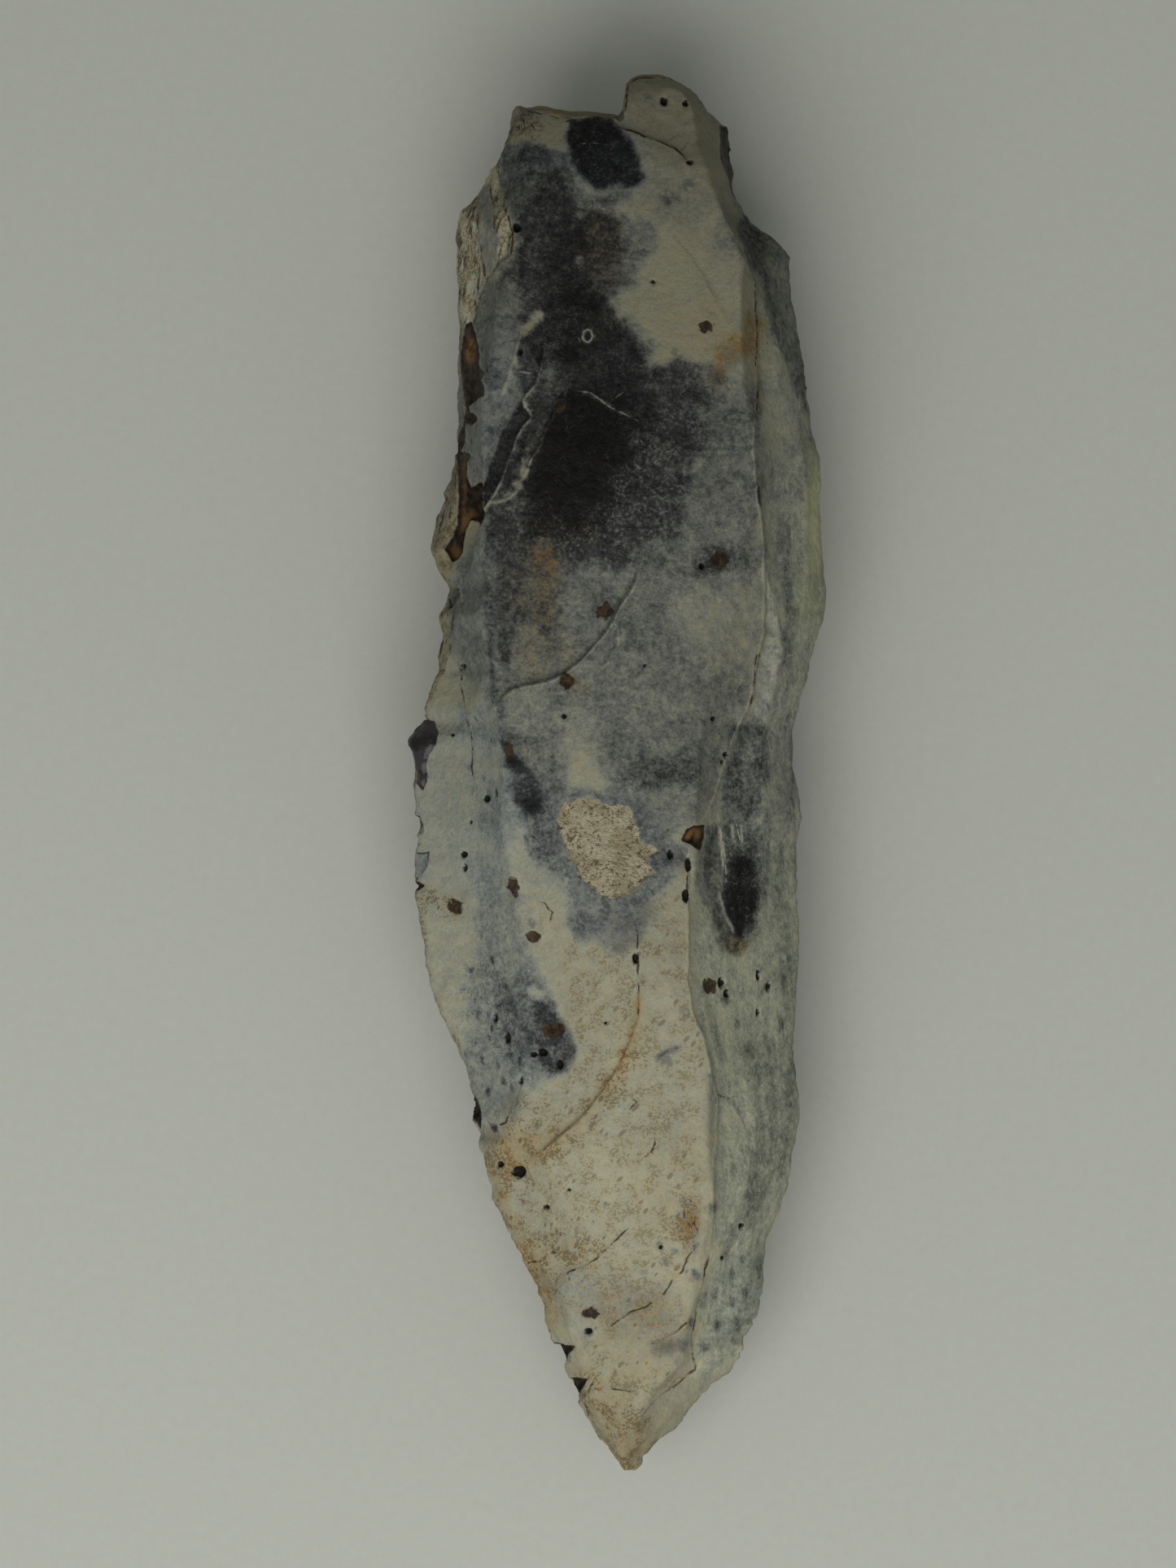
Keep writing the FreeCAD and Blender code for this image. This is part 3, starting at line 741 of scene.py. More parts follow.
for column, row, radius, width, spacing, height_mm in RINGS:
    away = np.hypot(places[:, 0] - column, places[:, 1] - row) + 4 * wobble[:, 0]
    zone = np.exp(-((away - radius) / width) ** 2)
    lift += height_mm * zone * np.sin(2 * math.pi * away / spacing) * facing_up

bruised = smooth_step(outline_depth(places + 3 * wobble, BRUISED_BEVEL), -3, 8) * facing_up
bruised *= 1 - 0.75 * smooth_step(outline_depth(places, SMOOTH_FACET), -1, 4)
fibres = points * (1.0, 0.28, 0.6)
lift += bruised * (0.20 * lumps(fibres, 0.9, 41) + 0.12 * lumps(fibres, 0.45, 42))

away_from_margin = np.full(len(points), FAR_PX)
for line in (LEFT_MARGIN, RIGHT_MARGIN):
    away_from_margin = np.minimum(away_from_margin, line_distance(places, line)[0])
near_margin = np.exp(-away_from_margin / MARGIN_FLAKES_PX)
small_flakes = np.abs(lumps(points * (1, 1, 0.5), 1.7, 51))
lift += near_margin * (FLAKE_MM * small_flakes - FLAKE_SINK_MM + 0.10 * lumps(points, 0.6, 52))

underside = 1 - facing_up
lift += underside * UNDERSIDE_WAVE_MM * np.sin(layered_lumps(points, 9.0, 61, 2) * 14)
lift += SWELL_MM * layered_lumps(points, 4.0, 71) + GRAIN_MM * lumps(points, 0.8, 72)
lift *= smooth_step(points[:, 2] / MM, 0.0, FLAT_FOOT_MM)

write_points(points + normals * lift[:, None] * MM)
print("faint rings:", len(RINGS), "bruised points:", int((bruised > 0.5).sum()))

# %% [markdown]
# ## Painting the patina
#
# Patina is a bleached rind. Where it is thin the dark flint shows through as blue-black, and where
# it is thick it is cream. So one number per point, the thickness of the patina from 0 to 1, gives
# most of the colours through one colour ramp. The areas and strokes below were placed one by one.
# Brown stain, chalk, fresh flint and the other finishes get a number of their own, and so does a
# painted light that darkens the blunt end and brightens a few faces.

# %% Brushes
HALF = 0.5

points = read_points()
normals = read_normals()
places = photo_places(points)
seen_from_above = smooth_step(normals[:, 2], -0.25, 0.05)
on_top = smooth_step(normals[:, 2], 0.06, 0.20)


def wash(field, value, strength, softness, ragged, outline):
    """Lays a value over an area with a soft and ragged edge."""
    depth = outline_depth(places + ragged * wobble, outline)
    cover = strength * smooth_step(depth, -softness, softness)
    field += (value - field) * cover


def stroke(field, value, strength, half_width, softness, ragged, line):
    """Draws a value along a line."""
    distance = line_distance(places + ragged * wobble, line)[0]
    cover = strength * smooth_step(half_width - distance, -softness, softness)
    field += (value - field) * cover


def dab(field, value, strength, column, row, half_across, half_along, softness, ragged):
    """Presses a value onto a round place."""
    offset = (places + ragged * wobble - (column, row)) / (half_across, half_along)
    distance = np.hypot(offset[:, 0], offset[:, 1])
    cover = strength * smooth_step(distance, 1 + softness, 1 - softness)
    field += (value - field) * cover


def paint(field, areas=(), strokes=(), dabs=()):
    """Lays areas, then strokes, then dabs on a field."""
    for brush, marks in ((wash, areas), (stroke, strokes), (dab, dabs)):
        for mark in marks:
            brush(field, *mark)


def even_field(value=0.0):
    """A field with the same value all over."""
    return np.full(len(points), value)


# %% The thickness of the patina
# (value, strength, softness, raggedness, outline), from the widest areas to the smallest.
PATINA_AREAS = [
    # the dark upper half and its black heart
    (0.41, 1.0, 12, 16, [(616, 178), (690, 192), (706, 244), (716, 258), (742, 268), (769, 274), (762, 300),
        (763, 330), (776, 348), (745, 366), (757, 391), (786, 417), (798, 441), (833, 449), (868, 460),
        (900, 482), (926, 500), (928, 560), (880, 566), (850, 600), (838, 664), (800, 690), (770, 700),
        (700, 706), (650, 700), (604, 700), (600, 640), (640, 560), (650, 470), (640, 430), (584, 400),
        (596, 352), (626, 330), (630, 275), (612, 230)]),
    (0.27, 0.95, 18, 20, [(690, 250), (712, 262), (716, 300), (720, 344), (742, 374), (768, 402),
        (790, 430), (806, 470), (800, 520), (786, 570), (760, 620), (735, 650), (700, 668), (664, 660),
        (650, 600), (656, 540), (672, 500), (688, 470), (680, 430), (674, 380), (680, 320), (676, 280)]),
    (0.04, 0.9, 20, 18, [(676, 500), (700, 478), (740, 480), (766, 520), (760, 570), (740, 616), (706, 650),
        (662, 654), (654, 590), (660, 540)]),
    (0.22, 0.8, 12, 14, [(694, 270), (708, 300), (712, 350), (740, 396), (730, 440), (700, 440), (688, 380),
        (690, 320)]),
    (0.40, 0.8, 12, 12, [(722, 268), (766, 272), (764, 330), (742, 352), (716, 338), (714, 300)]),
    (0.54, 0.8, 9, 9, [(736, 330), (764, 322), (772, 350), (748, 366), (734, 352)]),
    (0.64, 0.8, 12, 14, [(616, 214), (640, 216), (650, 232), (644, 262), (626, 262), (616, 236)]),
    (0.72, 0.9, 9, 12, [(597, 352), (632, 346), (640, 372), (628, 398), (584, 400), (588, 376)]),
    (0.63, 0.9, 14, 16, [(866, 460), (926, 480), (930, 560), (870, 562), (856, 520)]),
    (0.78, 0.8, 8, 8, [(884, 466), (918, 466), (922, 500), (894, 500)]),
    (0.40, 0.9, 18, 18, [(790, 580), (850, 600), (848, 660), (820, 700), (740, 704), (690, 704), (700, 688),
        (760, 676)]),
    # the pale blue shelf on the left
    (0.73, 1.0, 3, 3, [(582, 407), (598, 403), (614, 395), (630, 394), (641, 398), (640, 420), (634, 432),
        (622, 468), (616, 486), (640, 496), (631, 511), (616, 537), (610, 558), (602, 576), (598, 592),
        (589, 600), (574, 604), (562, 560), (566, 480), (572, 420)]),
    (0.55, 0.8, 8, 8, [(590, 444), (618, 452), (612, 484), (592, 490)]),
    (0.61, 0.8, 6, 6, [(632, 452), (652, 470), (640, 496), (616, 536), (600, 576), (592, 560), (606, 510),
        (622, 478)]),
    (0.44, 0.9, 3, 4, [(640, 424), (668, 424), (664, 446), (658, 472), (646, 488), (634, 470), (634, 440)]),
    (0.25, 1.0, 1.5, 2, [(640, 496), (643, 504), (651, 515), (643, 525), (635, 539), (630, 555), (622, 574),
        (616, 592), (608, 608), (598, 623), (593, 630), (592, 623), (593, 604), (598, 592), (602, 576),
        (610, 558), (616, 537), (631, 511)]),
    (0.38, 0.9, 3, 4, [(651, 514), (647, 494), (662, 474), (670, 436), (694, 474), (680, 512), (664, 548),
        (650, 566), (640, 600), (612, 612), (618, 588), (636, 542)]),
    (0.16, 0.9, 2, 2, [(652, 428), (668, 424), (666, 444), (660, 452), (654, 440)]),
    # the grey middle
    (0.66, 1.0, 22, 16, [(602, 690), (640, 700), (700, 706), (770, 700), (838, 664), (852, 590), (930, 560),
        (938, 640), (938, 780), (925, 860), (905, 900), (880, 970), (860, 1010), (820, 1004), (700, 1000),
        (650, 1020), (616, 960), (600, 880)]),
    (0.68, 0.9, 10, 10, [(848, 562), (926, 562), (934, 640), (905, 672), (862, 660), (846, 620)]),
    (0.87, 0.9, 22, 18, [(822, 726), (930, 716), (934, 780), (922, 836), (880, 836), (838, 796)]),
    (0.71, 0.9, 10, 10, [(690, 720), (738, 718), (748, 752), (736, 782), (706, 806), (682, 790)]),
    (0.62, 0.9, 10, 8, [(606, 700), (690, 706), (692, 800), (664, 838), (616, 850)]),
    (0.44, 0.9, 10, 8, [(610, 624), (648, 624), (652, 700), (638, 812), (614, 818), (606, 740)]),
    (0.56, 0.9, 8, 8, [(650, 666), (680, 666), (694, 690), (686, 730), (684, 776), (660, 790), (652, 730)]),
    (0.22, 0.9, 10, 8, [(648, 634), (700, 640), (700, 664), (680, 664), (650, 660)]),
    (0.73, 0.9, 8, 8, [(636, 770), (664, 770), (670, 820), (640, 838), (626, 820)]),
    (0.70, 0.9, 8, 8, [(560, 690), (597, 650), (600, 700), (600, 790), (608, 836), (560, 830), (550, 770)]),
    (0.80, 0.8, 14, 14, [(860, 872), (914, 868), (908, 904), (884, 924), (858, 910)]),
    (0.52, 0.9, 14, 14, [(745, 912), (800, 924), (852, 924), (856, 960), (800, 968), (752, 950)]),
    (0.75, 0.9, 6, 6, [(765, 971), (855, 971), (840, 1012), (817, 1026), (783, 1005)]),
    (0.78, 0.9, 8, 8, [(676, 874), (724, 874), (740, 936), (697, 940)]),
    (0.62, 0.9, 10, 10, [(640, 902), (683, 902), (694, 946), (650, 950)]),
    (0.80, 0.9, 8, 8, [(617, 852), (668, 844), (680, 880), (650, 896), (622, 890)]),
    (0.54, 0.9, 10, 10, [(600, 846), (610, 850), (624, 900), (648, 944), (690, 960), (686, 1000),
        (692, 1046), (660, 1046), (640, 1010), (638, 975), (618, 936), (602, 890)]),
    (0.72, 0.9, 14, 14, [(800, 836), (880, 846), (904, 890), (866, 916), (800, 900)]),
    (0.72, 0.5, 16, 12, [(700, 820), (760, 790), (800, 830), (860, 900), (850, 930), (760, 930),
        (716, 880)]),
    (0.10, 0.9, 6, 8, [(602, 890), (630, 926), (660, 956), (674, 990), (650, 998), (622, 978), (602, 935)]),
    # around the chalky inclusion
    (0.65, 1.0, 8, 10, [(672, 1000), (690, 972), (740, 962), (780, 976), (820, 1016), (850, 1046),
        (846, 1076), (830, 1096), (806, 1108), (790, 1150), (766, 1168), (735, 1168), (704, 1146),
        (694, 1100), (668, 1062), (640, 1036)]),
    (0.86, 1.0, 14, 8, [(688, 880), (700, 876), (716, 918), (744, 956), (736, 970), (706, 966), (696, 960),
        (690, 920)]),
    (1.0, 0.9, 5, 6, [(700, 926), (716, 924), (732, 946), (748, 964), (738, 970), (708, 966), (698, 974),
        (702, 950)]),
    (0.90, 1.0, 8, 8, [(640, 1062), (690, 1074), (700, 1100), (692, 1136), (660, 1170), (640, 1120)]),
    # the lower left scar
    (0.95, 1.0, 8, 10, [(500, 870), (598, 872), (612, 900), (626, 950), (630, 1020), (616, 1050),
        (634, 1090), (646, 1130), (652, 1174), (659, 1204), (674, 1231), (693, 1252), (710, 1279),
        (713, 1296), (696, 1319), (672, 1326), (659, 1329), (639, 1346), (625, 1367), (608, 1394),
        (598, 1417), (580, 1410), (560, 1316), (530, 1245), (510, 1180), (495, 1090), (495, 1000),
        (495, 930)]),
    (0.74, 0.9, 14, 14, [(596, 960), (630, 960), (640, 1020), (612, 1050), (586, 1030)]),
    (0.77, 1.0, 14, 14, [(580, 1060), (620, 1056), (640, 1110), (650, 1170), (662, 1205), (690, 1250),
        (712, 1285), (696, 1319), (660, 1329), (610, 1392), (596, 1412), (578, 1350), (562, 1290),
        (580, 1220), (584, 1150)]),
    (0.56, 0.9, 14, 14, [(610, 1200), (656, 1206), (690, 1252), (680, 1310), (640, 1316), (612, 1270)]),
    (0.37, 0.9, 6, 6, [(655, 1226), (676, 1236), (700, 1262), (713, 1290), (697, 1317), (676, 1322),
        (662, 1290)]),
    (0.96, 1.0, 4, 5, [(640, 1076), (656, 1120), (662, 1170), (672, 1204), (684, 1240), (700, 1264),
        (716, 1292), (706, 1312), (688, 1328), (660, 1336), (644, 1350), (634, 1376), (616, 1396),
        (602, 1418), (640, 1424), (720, 1360), (760, 1280), (740, 1200), (700, 1150), (690, 1100)]),
    (0.80, 0.8, 8, 8, [(562, 866), (602, 868), (614, 906), (600, 930), (572, 920)]),
    (0.84, 0.8, 14, 12, [(646, 1560), (740, 1556), (830, 1586), (822, 1640), (700, 1630)]),
    (0.96, 0.8, 12, 12, [(512, 1096), (560, 1096), (568, 1130), (540, 1150), (516, 1140)]),
    (0.72, 0.8, 4, 4, [(508, 1046), (526, 1048), (522, 1080), (508, 1084)]),
    # the right flank
    (0.78, 1.0, 10, 10, [(931, 372), (950, 420), (975, 490), (1020, 560), (1026, 760), (1000, 860),
        (985, 960), (990, 1420), (950, 1540), (930, 1640), (860, 1700), (858, 1640), (880, 1530),
        (885, 1400), (868, 1280), (850, 1200), (850, 1060), (880, 990), (926, 880), (944, 780), (942, 640),
        (930, 560)]),
    (0.90, 0.9, 10, 10, [(932, 392), (948, 420), (974, 490), (984, 520), (960, 570), (938, 560),
        (932, 480)]),
    (0.66, 0.9, 14, 10, [(870, 1290), (960, 1230), (966, 1420), (930, 1500), (890, 1530), (880, 1460),
        (885, 1400)]),
    (0.66, 0.8, 10, 10, [(948, 1060), (972, 1060), (972, 1200), (944, 1210)]),
    (0.80, 0.8, 10, 10, [(885, 1030), (850, 1200), (872, 1290), (890, 1350), (940, 1380), (960, 1250),
        (930, 1180)]),
    (0.80, 0.9, 8, 8, [(886, 1352), (912, 1366), (922, 1400), (918, 1470), (890, 1520), (876, 1500),
        (880, 1420)]),
    (0.55, 1.0, 8, 10, [(890, 226), (908, 244), (935, 272), (962, 292), (980, 330), (984, 400), (1000, 490),
        (1004, 540), (984, 500), (956, 420), (934, 362), (914, 318), (896, 270)]),
    (0.75, 0.9, 8, 8, [(946, 292), (966, 304), (978, 350), (984, 410), (972, 420), (954, 380), (940, 330)]),
    (0.47, 0.9, 8, 8, [(904, 246), (926, 264), (940, 290), (930, 312), (914, 300), (902, 270)]),
    (0.50, 0.9, 9, 12, [(896, 890), (926, 878), (944, 900), (944, 950), (938, 1004), (905, 1012),
        (888, 1000)]),
    (0.56, 1.0, 8, 8, [(864, 1020), (900, 1004), (936, 1012), (944, 1080), (934, 1140), (912, 1170),
        (884, 1166), (866, 1110)]),
    (0.70, 0.9, 12, 12, [(880, 1560), (938, 1530), (940, 1600), (914, 1650), (880, 1660), (866, 1620)]),
    # the blunt end
    (1.0, 1.0, 6, 8, [(632, 138), (660, 134), (702, 150), (698, 182), (684, 186), (656, 176), (622, 174)]),
    (0.62, 1.0, 5, 7, [(618, 182), (650, 176), (684, 186), (688, 206), (672, 218), (640, 216), (616, 224)]),
    (0.51, 0.9, 5, 6, [(630, 190), (668, 184), (680, 196), (664, 208), (636, 208)]),
    (0.20, 1.0, 5, 7, [(702, 152), (726, 148), (751, 150), (764, 162), (773, 174), (783, 197), (788, 222),
        (773, 236), (752, 235), (733, 235), (716, 224), (703, 206), (698, 190), (699, 170)]),
    (0.68, 0.9, 7, 9, [(768, 280), (790, 276), (803, 282), (806, 316), (784, 334), (770, 350), (764, 320)]),
    (0.78, 0.7, 8, 8, [(870, 284), (895, 290), (900, 314), (880, 320), (868, 304)]),
    (0.84, 0.9, 24, 14, [(790, 186), (850, 212), (890, 260), (880, 290), (800, 282), (786, 236)]),
    (0.70, 0.9, 5, 6, [(636, 137), (660, 131), (700, 136), (756, 140), (750, 148), (700, 150), (668, 142)]),
    (0.70, 0.8, 8, 8, [(704, 246), (756, 242), (770, 250), (756, 268), (716, 262)]),
    # the oval on the right flank: its halo, its core and the warm foot
    (0.50, 1.0, 2.5, 2, [(880, 1016), (900, 1006), (918, 1010), (930, 1034), (934, 1080), (930, 1130),
        (918, 1160), (900, 1168), (884, 1150), (870, 1110), (864, 1070), (868, 1036)]),
    (0.58, 0.8, 4, 4, [(872, 1040), (886, 1024), (892, 1050), (892, 1090), (882, 1110), (872, 1080)]),
    (0.15, 1.0, 7, 3, [(902, 1052), (914, 1048), (925, 1062), (930, 1096), (925, 1132), (911, 1150),
        (898, 1142), (890, 1112), (891, 1076)]),
    (0.74, 0.8, 5, 6, [(886, 238), (900, 250), (906, 296), (898, 322), (886, 292)]),
    (0.82, 0.9, 9, 12, [(826, 1478), (846, 1470), (858, 1484), (864, 1524), (850, 1538), (838, 1520),
        (830, 1500)]),
    (1.0, 0.9, 10, 8, [(846, 130), (880, 148), (890, 200), (912, 262), (900, 262), (872, 220), (850, 180)]),
]

# (value, strength, half width, softness, raggedness, line)
PATINA_STROKES = [
    (0.60, 0.9, 7, 5, 5, [(688, 196), (697, 222), (706, 243), (724, 251), (746, 250), (770, 244)]),
    (1.0, 1.0, 6, 3, 4, [(644, 412), (652, 404), (665, 391)]),
    (0.80, 0.8, 2, 2, 4, [(643, 566), (646, 584), (641, 600), (634, 611), (622, 617), (602, 619)]),
    (0.95, 0.8, 3, 2, 2, [(634, 446), (636, 453)]),
    (0.85, 1.0, 1.6, 1.2, 0.3, [(722, 409), (726, 411), (728, 416), (727, 421), (723, 425), (719, 424),
        (716, 419), (717, 412), (722, 409)]),
    # painted shade: a dark line along the soft valley between the left scar and the middle
    (0.40, 0.8, 4, 5, 4, [(602, 650), (600, 720), (602, 780), (606, 850)]),
    (0.55, 0.7, 12, 12, 12, [(640, 960), (672, 972), (676, 1010), (664, 1040)]),
    (0.96, 0.9, 8, 7, 6, [(806, 1110), (820, 1096), (842, 1070)]),
    (0.50, 0.7, 9, 10, 8, [(858, 700), (884, 690), (930, 692)]),
    (0.40, 0.6, 10, 10, 10, [(838, 560), (846, 520), (830, 470)]),
    (0.58, 0.7, 9, 9, 8, [(745, 1125), (770, 1130), (720, 1140)]),
    (1.0, 0.9, 6, 3, 3, [(654, 1216), (662, 1222)]),
    (0.58, 0.7, 7, 6, 3, [(960, 640), (968, 700), (972, 760), (962, 820)]),
    (0.72, 0.6, 7, 6, 3, [(990, 660), (1000, 720), (990, 790)]),
    (0.60, 0.7, 6, 6, 3, [(972, 880), (976, 940), (972, 1010)]),
    (0.60, 0.7, 8, 8, 4, [(972, 1180), (970, 1250), (974, 1330)]),
    (0.56, 0.8, 8, 8, 5, [(974, 1310), (972, 1380), (962, 1440)]),
    (0.58, 0.7, 9, 8, 5, [(930, 1450), (922, 1480), (926, 1500)]),
    (0.62, 0.8, 8, 8, 5, [(934, 1560), (922, 1590), (900, 1640)]),
    (0.55, 0.7, 5, 6, 4, [(868, 1590), (862, 1600)]),
    (0.58, 0.7, 4, 4, 2, [(866, 1212), (874, 1250), (888, 1300)]),
    (0.44, 0.8, 3, 2, 2, [(808, 1296), (818, 1291), (832, 1285)]),
    (0.60, 0.7, 9, 7, 5, [(806, 1655), (820, 1652), (836, 1648)]),
    (0.62, 0.7, 2, 2, 1, [(719, 486), (742, 497), (756, 508), (776, 516)]),
    (0.95, 0.9, 1.6, 1.2, 1, [(883, 1019), (886, 1040), (888, 1062)]),
    (0.95, 0.9, 1.4, 1.2, 1, [(899, 1014), (902, 1036)]),
    (0.90, 0.8, 1.4, 1.2, 1, [(911, 1014), (912, 1034)]),
    (0.90, 0.8, 1.6, 1.2, 1, [(884, 1098), (890, 1122), (900, 1142)]),
    (0.85, 0.7, 1.6, 1.5, 2, [(908, 888), (896, 930), (884, 972)]),
]

# (value, strength, column, row, half across, half along, softness, raggedness)
PATINA_DABS = [
    (0.08, 0.8, 704, 374, 8, 7, 0.5, 5), (0.08, 0.8, 730, 380, 7, 5, 0.5, 4),
    (0.08, 0.8, 700, 445, 14, 9, 0.5, 6), (0.78, 0.9, 712, 323, 4, 5, 0.4, 2),
    (0.10, 0.8, 716, 300, 8, 12, 0.5, 5), (1.0, 0.9, 645, 584, 6, 9, 0.4, 4),
    (0.95, 0.9, 639, 601, 7, 6, 0.4, 4), (0.90, 0.9, 626, 614, 7, 4, 0.4, 4),
    (0.90, 0.8, 651, 568, 4, 6, 0.4, 3), (0.85, 0.8, 612, 619, 6, 3, 0.4, 3),
    (0.62, 0.7, 673, 461, 8, 10, 0.4, 4), (0.55, 0.7, 745, 742, 16, 16, 0.5, 6),
    (0.42, 0.8, 884, 690, 18, 16, 0.5, 6), (0.60, 0.7, 820, 248, 14, 8, 0.5, 8),
    (0.70, 0.5, 890, 296, 14, 12, 0.5, 6), (0.55, 0.8, 818, 1547, 5, 5, 0.4, 2),
    (0.62, 0.7, 829, 1535, 5, 4, 0.4, 2), (0.55, 0.7, 792, 1560, 3, 3, 0.4, 2),
    (0.62, 0.7, 810, 1526, 4, 4, 0.4, 2), (0.80, 0.7, 720, 1643, 10, 9, 0.6, 3),
    (0.30, 0.9, 723, 1634, 5, 4, 0.4, 2), (0.56, 0.8, 724, 1611, 9, 6, 0.4, 2),
    (0.96, 0.6, 740, 1230, 40, 70, 0.5, 16), (0.46, 0.8, 905, 1162, 13, 7, 0.6, 4),
    (0.74, 0.7, 898, 444, 15, 15, 0.7, 8), (0.52, 0.8, 808, 1056, 14, 12, 0.5, 6),
    (1.0, 0.8, 1004, 640, 12, 60, 0.5, 4), (0.62, 0.8, 930, 1300, 17, 40, 0.7, 8),
    (0.56, 0.8, 600, 982, 4, 4, 0.4, 2), (0.66, 0.7, 696, 884, 8, 8, 0.6, 4),
]

# Small dark dots: (column, row, half across, half along).
FLANK_DOTS = [
    (890, 1226, 4, 6), (912, 1222, 4, 6), (932, 1190, 3, 6), (938, 1216, 3, 6), (906, 1257, 3, 5),
    (918, 1286, 4, 7), (944, 1289, 3, 7), (941, 1311, 4, 6), (964, 1206, 4, 8), (960, 1257, 4, 9),
    (932, 1330, 3, 5), (944, 1350, 3, 6), (919, 1468, 5, 8), (900, 1513, 4, 6), (932, 1474, 4, 8),
    (874, 1481, 6, 8), (900, 1564, 4, 6), (880, 1590, 4, 8), (855, 1564, 5, 7), (880, 1628, 4, 8),
    (868, 1654, 5, 6), (848, 1622, 4, 6), (900, 1602, 4, 8), (906, 1628, 4, 9), (916, 1590, 4, 7),
    (890, 1540, 4, 6), (912, 1548, 3, 6),
]
SCAR_DOTS = [
    (644, 1263, 3, 5), (612, 1234, 3, 4), (592, 1302, 3, 4), (618, 1327, 3, 5), (628, 1295, 4, 3),
    (640, 1302, 3, 4), (599, 1340, 3, 5), (608, 1385, 4, 5), (586, 1250, 2, 4), (634, 1244, 3, 4),
    (650, 1276, 4, 5), (567, 1218, 3, 3), (605, 1263, 2, 4), (656, 1310, 4, 4), (580, 1190, 3, 3),
    (604, 1180, 2, 4), (622, 1210, 3, 4),
]
DOT_STRENGTH = 0.8
DOT_SOFTNESS = 0.5
DOT_RAGGED_PX = 3

patina = 0.97 + 0.05 * lumps(points, 6.0, 81)
paint(patina, PATINA_AREAS, PATINA_STROKES, PATINA_DABS)
for value, dots in ((0.50, FLANK_DOTS), (0.34, SCAR_DOTS)):
    for dot in dots:
        dab(patina, value, DOT_STRENGTH, *dot, DOT_SOFTNESS, DOT_RAGGED_PX)
bruised_patina = 0.92 + 0.14 * lumps(points, 1.5, 83)
patina += (bruised_patina - patina) * 0.8 * bruised
wash(patina, 0.68, 0.9, 2, 2, SMOOTH_FACET)

under_patina = 0.80 + 0.30 * layered_lumps(points, 16.0, 91) + 0.10 * lumps(points, 3.0, 92)
under_patina = np.clip(under_patina, 0.22, 1.0)
patina = under_patina + (patina - under_patina) * seen_from_above
print("mean thickness of the patina:", round(float(patina.mean()), 3))

# %% Brown stain
STAIN_AREAS = [
    (0.62, 0.9, 10, 10, [(722, 262), (764, 272), (764, 340), (742, 360), (716, 338), (714, 290)]),
    (0.60, 0.9, 26, 16, [(664, 520), (720, 500), (740, 600), (720, 660), (668, 670), (650, 620)]),
    (0.55, 0.9, 14, 12, [(620, 700), (684, 700), (690, 780), (660, 838), (636, 826), (640, 760)]),
    (0.84, 1.0, 13, 6, [(650, 668), (680, 668), (694, 690), (684, 716), (666, 722), (650, 700)]),
    (0.70, 0.9, 11, 5, [(656, 706), (682, 706), (682, 756), (672, 780), (656, 760)]),
    (0.40, 0.9, 10, 8, [(664, 780), (704, 786), (716, 800), (690, 824), (664, 826)]),
    (0.34, 0.9, 10, 10, [(634, 1516), (736, 1520), (738, 1556), (700, 1566), (650, 1574)]),
    (0.44, 0.9, 12, 10, [(740, 1580), (800, 1584), (830, 1600), (822, 1636), (740, 1642), (720, 1610)]),
    (0.72, 0.9, 10, 8, [(600, 1390), (690, 1380), (676, 1416), (620, 1450)]),
    (0.55, 0.9, 12, 8, [(745, 1752), (770, 1740), (812, 1752), (798, 1786), (774, 1806), (758, 1796)]),
    (0.60, 0.9, 8, 8, [(746, 1776), (770, 1766), (800, 1780), (780, 1810), (760, 1806)]),
    (0.45, 0.9, 12, 10, [(700, 1680), (760, 1690), (780, 1740), (748, 1770), (716, 1740)]),
    (0.36, 0.9, 20, 16, [(740, 1640), (830, 1640), (820, 1690), (760, 1700)]),
    (0.80, 0.9, 3, 3, [(636, 134), (660, 126), (700, 132), (758, 137), (750, 148), (700, 150), (664, 142)]),
    (0.45, 0.9, 6, 6, [(886, 1140), (918, 1140), (914, 1166), (894, 1170)]),
    (0.26, 0.8, 10, 8, [(524, 570), (566, 560), (560, 700), (530, 700)]),
    (0.24, 0.8, 20, 14, [(780, 1400), (870, 1400), (872, 1520), (780, 1500)]),
    (0.50, 0.8, 14, 12, [(690, 356), (740, 366), (764, 400), (744, 420), (700, 410)]),
    (0.20, 0.8, 20, 14, [(800, 200), (880, 230), (900, 300), (850, 300), (800, 260)]),
    (0.26, 0.8, 20, 14, [(820, 380), (880, 370), (900, 440), (860, 460), (820, 440)]),
]
